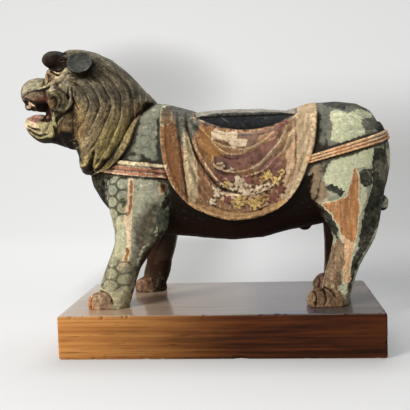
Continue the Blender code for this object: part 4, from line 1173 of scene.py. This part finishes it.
def paintedWood():
    sheet = Sheet("painted wood")
    sheet.shader.inputs["Specular IOR Level"].default_value = 0.07
    blotch = sheet.noise(38, 5, roughness=0.6)
    fine = sheet.noise(150, 5, roughness=0.62)
    grit = sheet.noise(620, 3)
    mottle = sheet.noise(230, 5, roughness=0.7)
    grain = sheet.noise(140, 6, stretch=(1, 1, 0.07), distortion=0.4, roughness=0.68)
    streak = sheet.noise(330, 4, stretch=(1, 1, 0.07), distortion=0.5).smooth(0.55, 0.68)
    wander = (blotch - 0.5) * 1.1 + (fine - 0.5) * 1.9 + (mottle - 0.5) * 0.9
    sprigs = (mottle - 0.5) * 2.2 + (blotch - 0.5) * 0.8
    tone = ((blotch + fine) * 1.9 - 1.4).smooth(0, 1)
    woodTone = (grain * 2.6 + fine * 0.6 - 1.1).smooth(0, 1)
    colour = sheet.mix(tone, linear((160, 157, 134)), linear((124, 126, 108)))
    height = fine * 0.25 + grit * 0.12
    ground = linear((198, 184, 152))
    for name, layer in paint.items():
        depth = sheet.zone(name) + (sprigs if layer.get("sprigs") else wander) * layer["ragged"]
        soft = layer["soft"]
        mask = depth.smooth(-soft, soft)
        first, second = (linear(c) for c in layer["colours"])
        fresh = sheet.mix(woodTone if layer.get("wood") else tone, first, second)
        if layer.get("wood"):
            fresh = sheet.mix(streak * layer["wood"], fresh, ground)
        if layer.get("rim"):
            colour = sheet.mix(depth.smooth(-layer["rim"] - soft, -layer["rim"] + soft), colour, ground)
        colour = sheet.mix(mask, colour, fresh)
        if layer.get("wood"):
            height = height + mask * (grain - 0.9) * 0.5
        elif soft < 0.6:
            height = height + mask * 0.22
    # Streaks that run with the locks of the mane
    inMane = sheet.zone("mane").smooth(-3, 1) * (1 - sheet.zone("ear side shade").smooth(-2, 0))
    along = sheet.node("ShaderNodeCombineXYZ", {}, {
        0: sheet.zone("lock share") * 24, 1: sheet.zone("lock turn") * 3, 2: fine * 0.8}).outputs[0]
    hair = Value(sheet, sheet.node(
        "ShaderNodeTexNoise", {}, {"Vector": along, "Scale": 1, "Detail": 4, "Roughness": 0.65}).outputs[0])
    colour = sheet.mix((0.47 - hair).smooth(-0.03, 0.08) * inMane * 0.62, colour, linear((38, 31, 20)))
    colour = sheet.mix((hair - 0.58).smooth(-0.01, 0.07) * inMane * 0.55, colour, linear((160, 146, 104)))
    height = height + hair * inMane * 0.45
    # Painted scales on the chest, the ankles and the neck
    upright = Value(sheet, sheet.node("ShaderNodeSeparateXYZ", {}, {0: sheet.place}).outputs[2])
    size, half = scales["size"], scales["columnHalf"]
    row = upright * (1000 / size) + wander * 0.05 - scales["rowStart"]
    row = row.maths("PINGPONG", 0.5)
    across = sheet.zone("around") * (1 / size) + (blotch - 0.5) * 0.2 + scales["columnStart"]
    across = across.maths("PINGPONG", half)
    away = [(a * a + b * b).maths("POWER", 0.5) for a, b in ((row, across), (0.5 - row, half - across))]
    outline = (away[0].maths("MINIMUM", away[1]) - scales["edge"]).smooth(-0.05, 0.025)
    line = outline * (sheet.zone("scales") * 1.2 - (1 - fine) * 0.35).smooth(0.02, 0.75)
    colour = sheet.mix(line * 0.86, colour, linear((44, 47, 38)))
    height = height - line * 0.5
    # Mottling, fine cracks, dirt and painted shade in the hollows, rubbed paint and painted highlight on the ridges,
    # flecks and pores
    carvedHead = (sheet.zone("mane").smooth(-1, 3) + sheet.zone("face").smooth(-1, 3)).smooth(0, 1)
    shade = ((mottle - 0.5) * 1.7 + (fine - 0.5) * 0.9) * (carvedHead * 0.35 + 0.6) + (grit - 0.5) * 0.4 + 1
    shade = shade + (sheet.noise(26, 2) - 0.52) * carvedHead * 1.5
    colour = sheet.mix(1, colour, shade, "MULTIPLY")
    crack = ((sheet.noise(62, 4, distortion=0.6) - 0.5).maths("ABSOLUTE") * -1 + 0.008).smooth(-0.005, 0.005)
    colour = sheet.mix(crack * (carvedHead * 0.45 + 0.2), colour, linear((30, 24, 15)))
    fineRidge, broadRidge = sheet.zone("fine ridge"), sheet.zone("broad ridge")
    # Dirt and painted shade in the hollows, less on the saddle cloth
    hollow = (broadRidge * -1).smooth(0.12, 1.4) * 0.75 + (fineRidge * -1).smooth(0.02, 0.3) * 0.6
    hollow = hollow * (1 - sheet.zone("saddle cloth").smooth(-2, 2) * 0.45)
    colour = sheet.mix((hollow * (0.6 + blotch * 0.7)).smooth(0, 1) * 0.88, colour, linear((24, 18, 11)))
    # Rubbed paint and painted highlight on the ridges: brighter, and partly the pale ground
    wear_and_highlight = broadRidge.smooth(0.5, 2.2) * 0.45 + fineRidge.smooth(0.06, 0.4) * 0.45
    wear_and_highlight = wear_and_highlight * (mottle * 3 - 1.1).smooth(0, 1)
    colour = sheet.mix(1, colour, 1 + wear_and_highlight * 1.3, "MULTIPLY")
    pale = 1 - (sheet.zone("throat shade").smooth(-8, 2) + sheet.zone("brow").smooth(-2, 2)).smooth(0, 1)
    pale = pale * (1 - sheet.zone("ear side shade").smooth(-3, 0))
    colour = sheet.mix(wear_and_highlight * pale * 0.3, colour, linear((184, 168, 134)))
    fleck = (sheet.noise(330, 2) * 1.2 + fine * 0.5).smooth(1.02, 1.08)
    colour = sheet.mix(fleck * 0.55, colour, linear((38, 30, 20)))
    # Painted shade with some dark paint on the underside and the inner legs, a lighter brown low down
    soot = (sheet.zone("soot") + wander * 0.3).smooth(0.1, 0.9)
    underside_shade_and_paint_colour = sheet.mix(upright.smooth(0.19, 0.13), linear((24, 12, 6)), linear((46, 26, 16)))
    colour = sheet.mix(soot * 0.95, colour, underside_shade_and_paint_colour)
    sheet.feed(sheet.shader.inputs["Base Color"], colour)
    sheet.feed(sheet.shader.inputs["Roughness"], 0.52 + fine * 0.2)
    sheet.feed(sheet.shader.inputs["Normal"], sheet.bump(height, 0.7, 0.0014))
    return sheet.material


def mahogany():
    sheet = Sheet("mahogany")
    split = sheet.node("ShaderNodeSeparateXYZ", {}, {0: sheet.place})
    along = Value(sheet, split.outputs[0])
    figure = sheet.noise(26, 5, stretch=(0.12, 1, 1.6), distortion=0.6)
    grain = sheet.noise(170, 4, stretch=(0.035, 1, 1.3), distortion=0.3)
    pores = sheet.noise(900, 2, stretch=(0.03, 1, 1))
    # Painted shade: the wood is darker towards the right, where less light falls
    painted_shade_to_right = (along + figure * 0.06 - 0.03).smooth(-0.30, 0.05)
    light = sheet.mix(painted_shade_to_right, linear((210, 150, 84)), linear((92, 45, 15)))
    deep = sheet.mix(painted_shade_to_right, linear((158, 94, 42)), linear((33, 13, 2)))
    colour = sheet.mix((figure * 1.3 + grain * 1.5 - 0.95).smooth(0, 1), light, deep)
    pore = pores.smooth(0.6, 0.68)
    colour = sheet.mix(pore * 0.5, colour, linear((24, 12, 6)))
    # On the top, dust and a painted reflection of the backdrop, pale at the left, bluish in the middle and dark to
    # the right, and a polish dulled by dust and handling, more to the right
    top = (Value(sheet, split.outputs[2]) * 1000).smooth(60.2, 61.2)
    dust_and_reflection = sheet.mix((along + figure * 0.1).smooth(-0.05, 0.2), linear((178, 170, 158)), linear((84, 82, 80)))
    bluish_reflection = (along + figure * 0.06).smooth(0.05, 0.1) * (1 - along.smooth(0.11, 0.17))
    dust_and_reflection = sheet.mix(bluish_reflection * 0.8, dust_and_reflection, linear((58, 72, 98)))
    dust_and_reflection_share = (figure * 1.2 + grain * 0.9 - 0.5).smooth(0, 1) * 0.7 + 0.2 + (1 - along.smooth(-0.24, -0.1)) * 0.3
    colour = sheet.mix(top * dust_and_reflection_share, colour, dust_and_reflection)
    sheet.feed(sheet.shader.inputs["Base Color"], colour)
    sheet.feed(sheet.shader.inputs["Roughness"], 0.34 + grain * 0.2)
    polish = 0.9 - along.smooth(0.1, 0.22) * 0.45 - figure.smooth(0.4, 0.7) * 0.2
    sheet.feed(sheet.shader.inputs["Coat Weight"], top * polish + 0.03)
    sheet.shader.inputs["Specular IOR Level"].default_value = 0.1
    sheet.shader.inputs["Coat Roughness"].default_value = 0.13
    sheet.feed(sheet.shader.inputs["Normal"], sheet.bump(grain * 0.6 - pore * 0.8, 0.2, 0.0004))
    return sheet.material


plinthMake = {"voxel": 0.0022, "bevel": 0.0016, "chips": 0.0016, "keep": 0.5}


def plinth():
    low, high = (Vector(corner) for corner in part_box("plinth"))
    block = bmesh.new()
    place = Matrix.Translation((low + high) / 2) @ Matrix.Diagonal((*(high - low), 1))
    bmesh.ops.create_cube(block, size=1, matrix=place)
    shape = {"segments": 3, "profile": 0.5, "affect": "EDGES", "material": -1}
    bmesh.ops.bevel(block, geom=block.edges[:], offset=plinthMake["bevel"], **shape)
    mesh = bpy.data.meshes.new("plinth")
    block.to_mesh(mesh)
    block.free()
    mesh = evaluated(mesh, [("REMESH", {"mode": "VOXEL", "voxel_size": plinthMake["voxel"]})])
    points = pointsOf(mesh)
    middle, half = np.array((low + high) / 2), np.array((high - low) / 2)
    # Chips only where two sides meet
    inset = np.sort(half - np.abs(points - middle), axis=1)[:, 1]
    chips = np.clip(rough(points, 0.012, 3) - 0.42, 0, 1) * plinthMake["chips"] * 4
    chips = chips * smooth(inset, 0.006, 0.001)
    points -= np.sign(points - middle) * (half - np.abs(points - middle) < 0.006) * chips[:, None]
    mesh.vertices.foreach_set("co", points.ravel())
    mesh = evaluated(mesh, [("DECIMATE", {"ratio": plinthMake["keep"]})])
    mesh.materials.append(mahogany())
    made = bpy.data.objects.new("worn_plinth", mesh)
    bpy.context.scene.collection.objects.link(made)
    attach(made, "root")
    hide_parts("plinth")
    print("plinth", len(mesh.polygons), "faces")


# Studio

studio = {
    "floor": (0.375, 0.375, 0.375),
    "world": ((1.0, 0.985, 0.96), 0.26),
    "key": {"place": (-1.25, -1.25, 1.15), "size": 0.6, "power": 43, "colour": (1.0, 0.975, 0.93)},
    "top": {"place": (0.1, 0.45, 1.5), "size": 1.0, "power": 12, "colour": (0.95, 0.98, 1.0)},
}


def backdrop():
    block = bmesh.new()
    profile = [(-2.6, 0.0), (1.2, 0.0)]
    bends = [a * math.pi / 16 for a in range(1, 9)]
    profile += [(1.2 + 0.8 * math.sin(bend), 0.8 - 0.8 * math.cos(bend)) for bend in bends]
    profile.append((2.0, 3.0))
    line = [block.verts.new((-4, y, z)) for y, z in profile]
    edges = [block.edges.new(pair) for pair in zip(line[:-1], line[1:])]
    pushed = bmesh.ops.extrude_edge_only(block, edges=edges)["geom"]
    bmesh.ops.translate(block, vec=(8, 0, 0), verts=[v for v in pushed if isinstance(v, bmesh.types.BMVert)])
    mesh = bpy.data.meshes.new("backdrop")
    block.to_mesh(mesh)
    block.free()
    for face in mesh.polygons:
        face.use_smooth = True
    sheet = Sheet("pale backdrop")
    sheet.shader.inputs["Base Color"].default_value = (*studio["floor"], 1)
    sheet.shader.inputs["Roughness"].default_value = 0.9
    # The backdrop glows by itself as painted light, with painted shadows: dimmer to the right, behind the neck,
    # under the belly, in front of the plinth and towards the front of the floor
    split = sheet.node("ShaderNodeSeparateXYZ", {}, {0: sheet.place})
    x, y, z = (Value(sheet, output) for output in split.outputs)
    right = x.smooth(-0.35, 0.4) * (1 - z.smooth(0.2, 0.62)) * y.smooth(-0.3, 0.5)
    aside, above = (x + 0.455) * (1 / 0.46), (z - 0.51) * (1 / 0.27)
    neck = (aside * aside + above * above).smooth(1.05, -0.1) * y.smooth(1.2, 1.5)
    belly = x.smooth(0.06, -0.12) * x.smooth(-0.36, -0.24) * y.smooth(0.15, 0.45) * y.smooth(1.4, 1.0)
    foot = y.smooth(-0.2, -0.12) * y.smooth(0.1, 0.0) * x.maths("ABSOLUTE").smooth(0.28, 0.2)
    glow = 0.51 - right * 0.31 - neck * 0.31 - belly * 0.31 - foot * 0.12 - y.smooth(1.1, 0.1) * 0.15
    sheet.feed(sheet.shader.inputs["Emission Color"], glow)
    sheet.shader.inputs["Emission Strength"].default_value = 1
    mesh.materials.append(sheet.material)
    made = bpy.data.objects.new("backdrop", mesh)
    bpy.context.scene.collection.objects.link(made)


def lamp(name, place, size, power, colour):
    data = bpy.data.lights.new(name, "AREA")
    data.size, data.energy, data.color = size, power, colour
    made = bpy.data.objects.new(name, data)
    made.location = place
    made.rotation_euler = (Vector((0, 0, 0.22)) - Vector(place)).to_track_quat("-Z", "Y").to_euler()
    bpy.context.scene.collection.objects.link(made)


def lighting():
    world = bpy.data.worlds.new("studio")
    world.use_nodes = True
    colour, strength = studio["world"]
    world.node_tree.nodes["Background"].inputs["Color"].default_value = (*colour, 1)
    world.node_tree.nodes["Background"].inputs["Strength"].default_value = strength
    bpy.context.scene.world = world
    for name in ("key", "top"):
        lamp(name, **studio[name])
    bpy.context.scene.view_settings.view_transform = "Standard"


view = {"place": (0.065, -1.047, 0.292), "left": 4.87, "down": 4.90, "roll": -1.74, "lens": 36 * 701 / 410}


def camera():
    data = bpy.data.cameras.new("camera")
    data.sensor_width, data.lens = 36, view["lens"]
    yaw, pitch, roll = (math.radians(view[name]) for name in ("left", "down", "roll"))
    ahead = Vector((-math.sin(yaw) * math.cos(pitch), math.cos(yaw) * math.cos(pitch), -math.sin(pitch)))
    level = Vector((math.cos(yaw), math.sin(yaw), 0))
    upright = level.cross(ahead)
    right = math.cos(roll) * level + math.sin(roll) * upright
    up = math.cos(roll) * upright - math.sin(roll) * level
    made = bpy.data.objects.new("camera", data)
    made.matrix_world = Matrix((
        (right.x, up.x, -ahead.x, view["place"][0]), (right.y, up.y, -ahead.y, view["place"][1]),
        (right.z, up.z, -ahead.z, view["place"][2]), (0, 0, 0, 1),
    ))
    bpy.context.scene.collection.objects.link(made)
    bpy.context.scene.camera = made


camera()
lighting()
backdrop()
plinth()
lion()
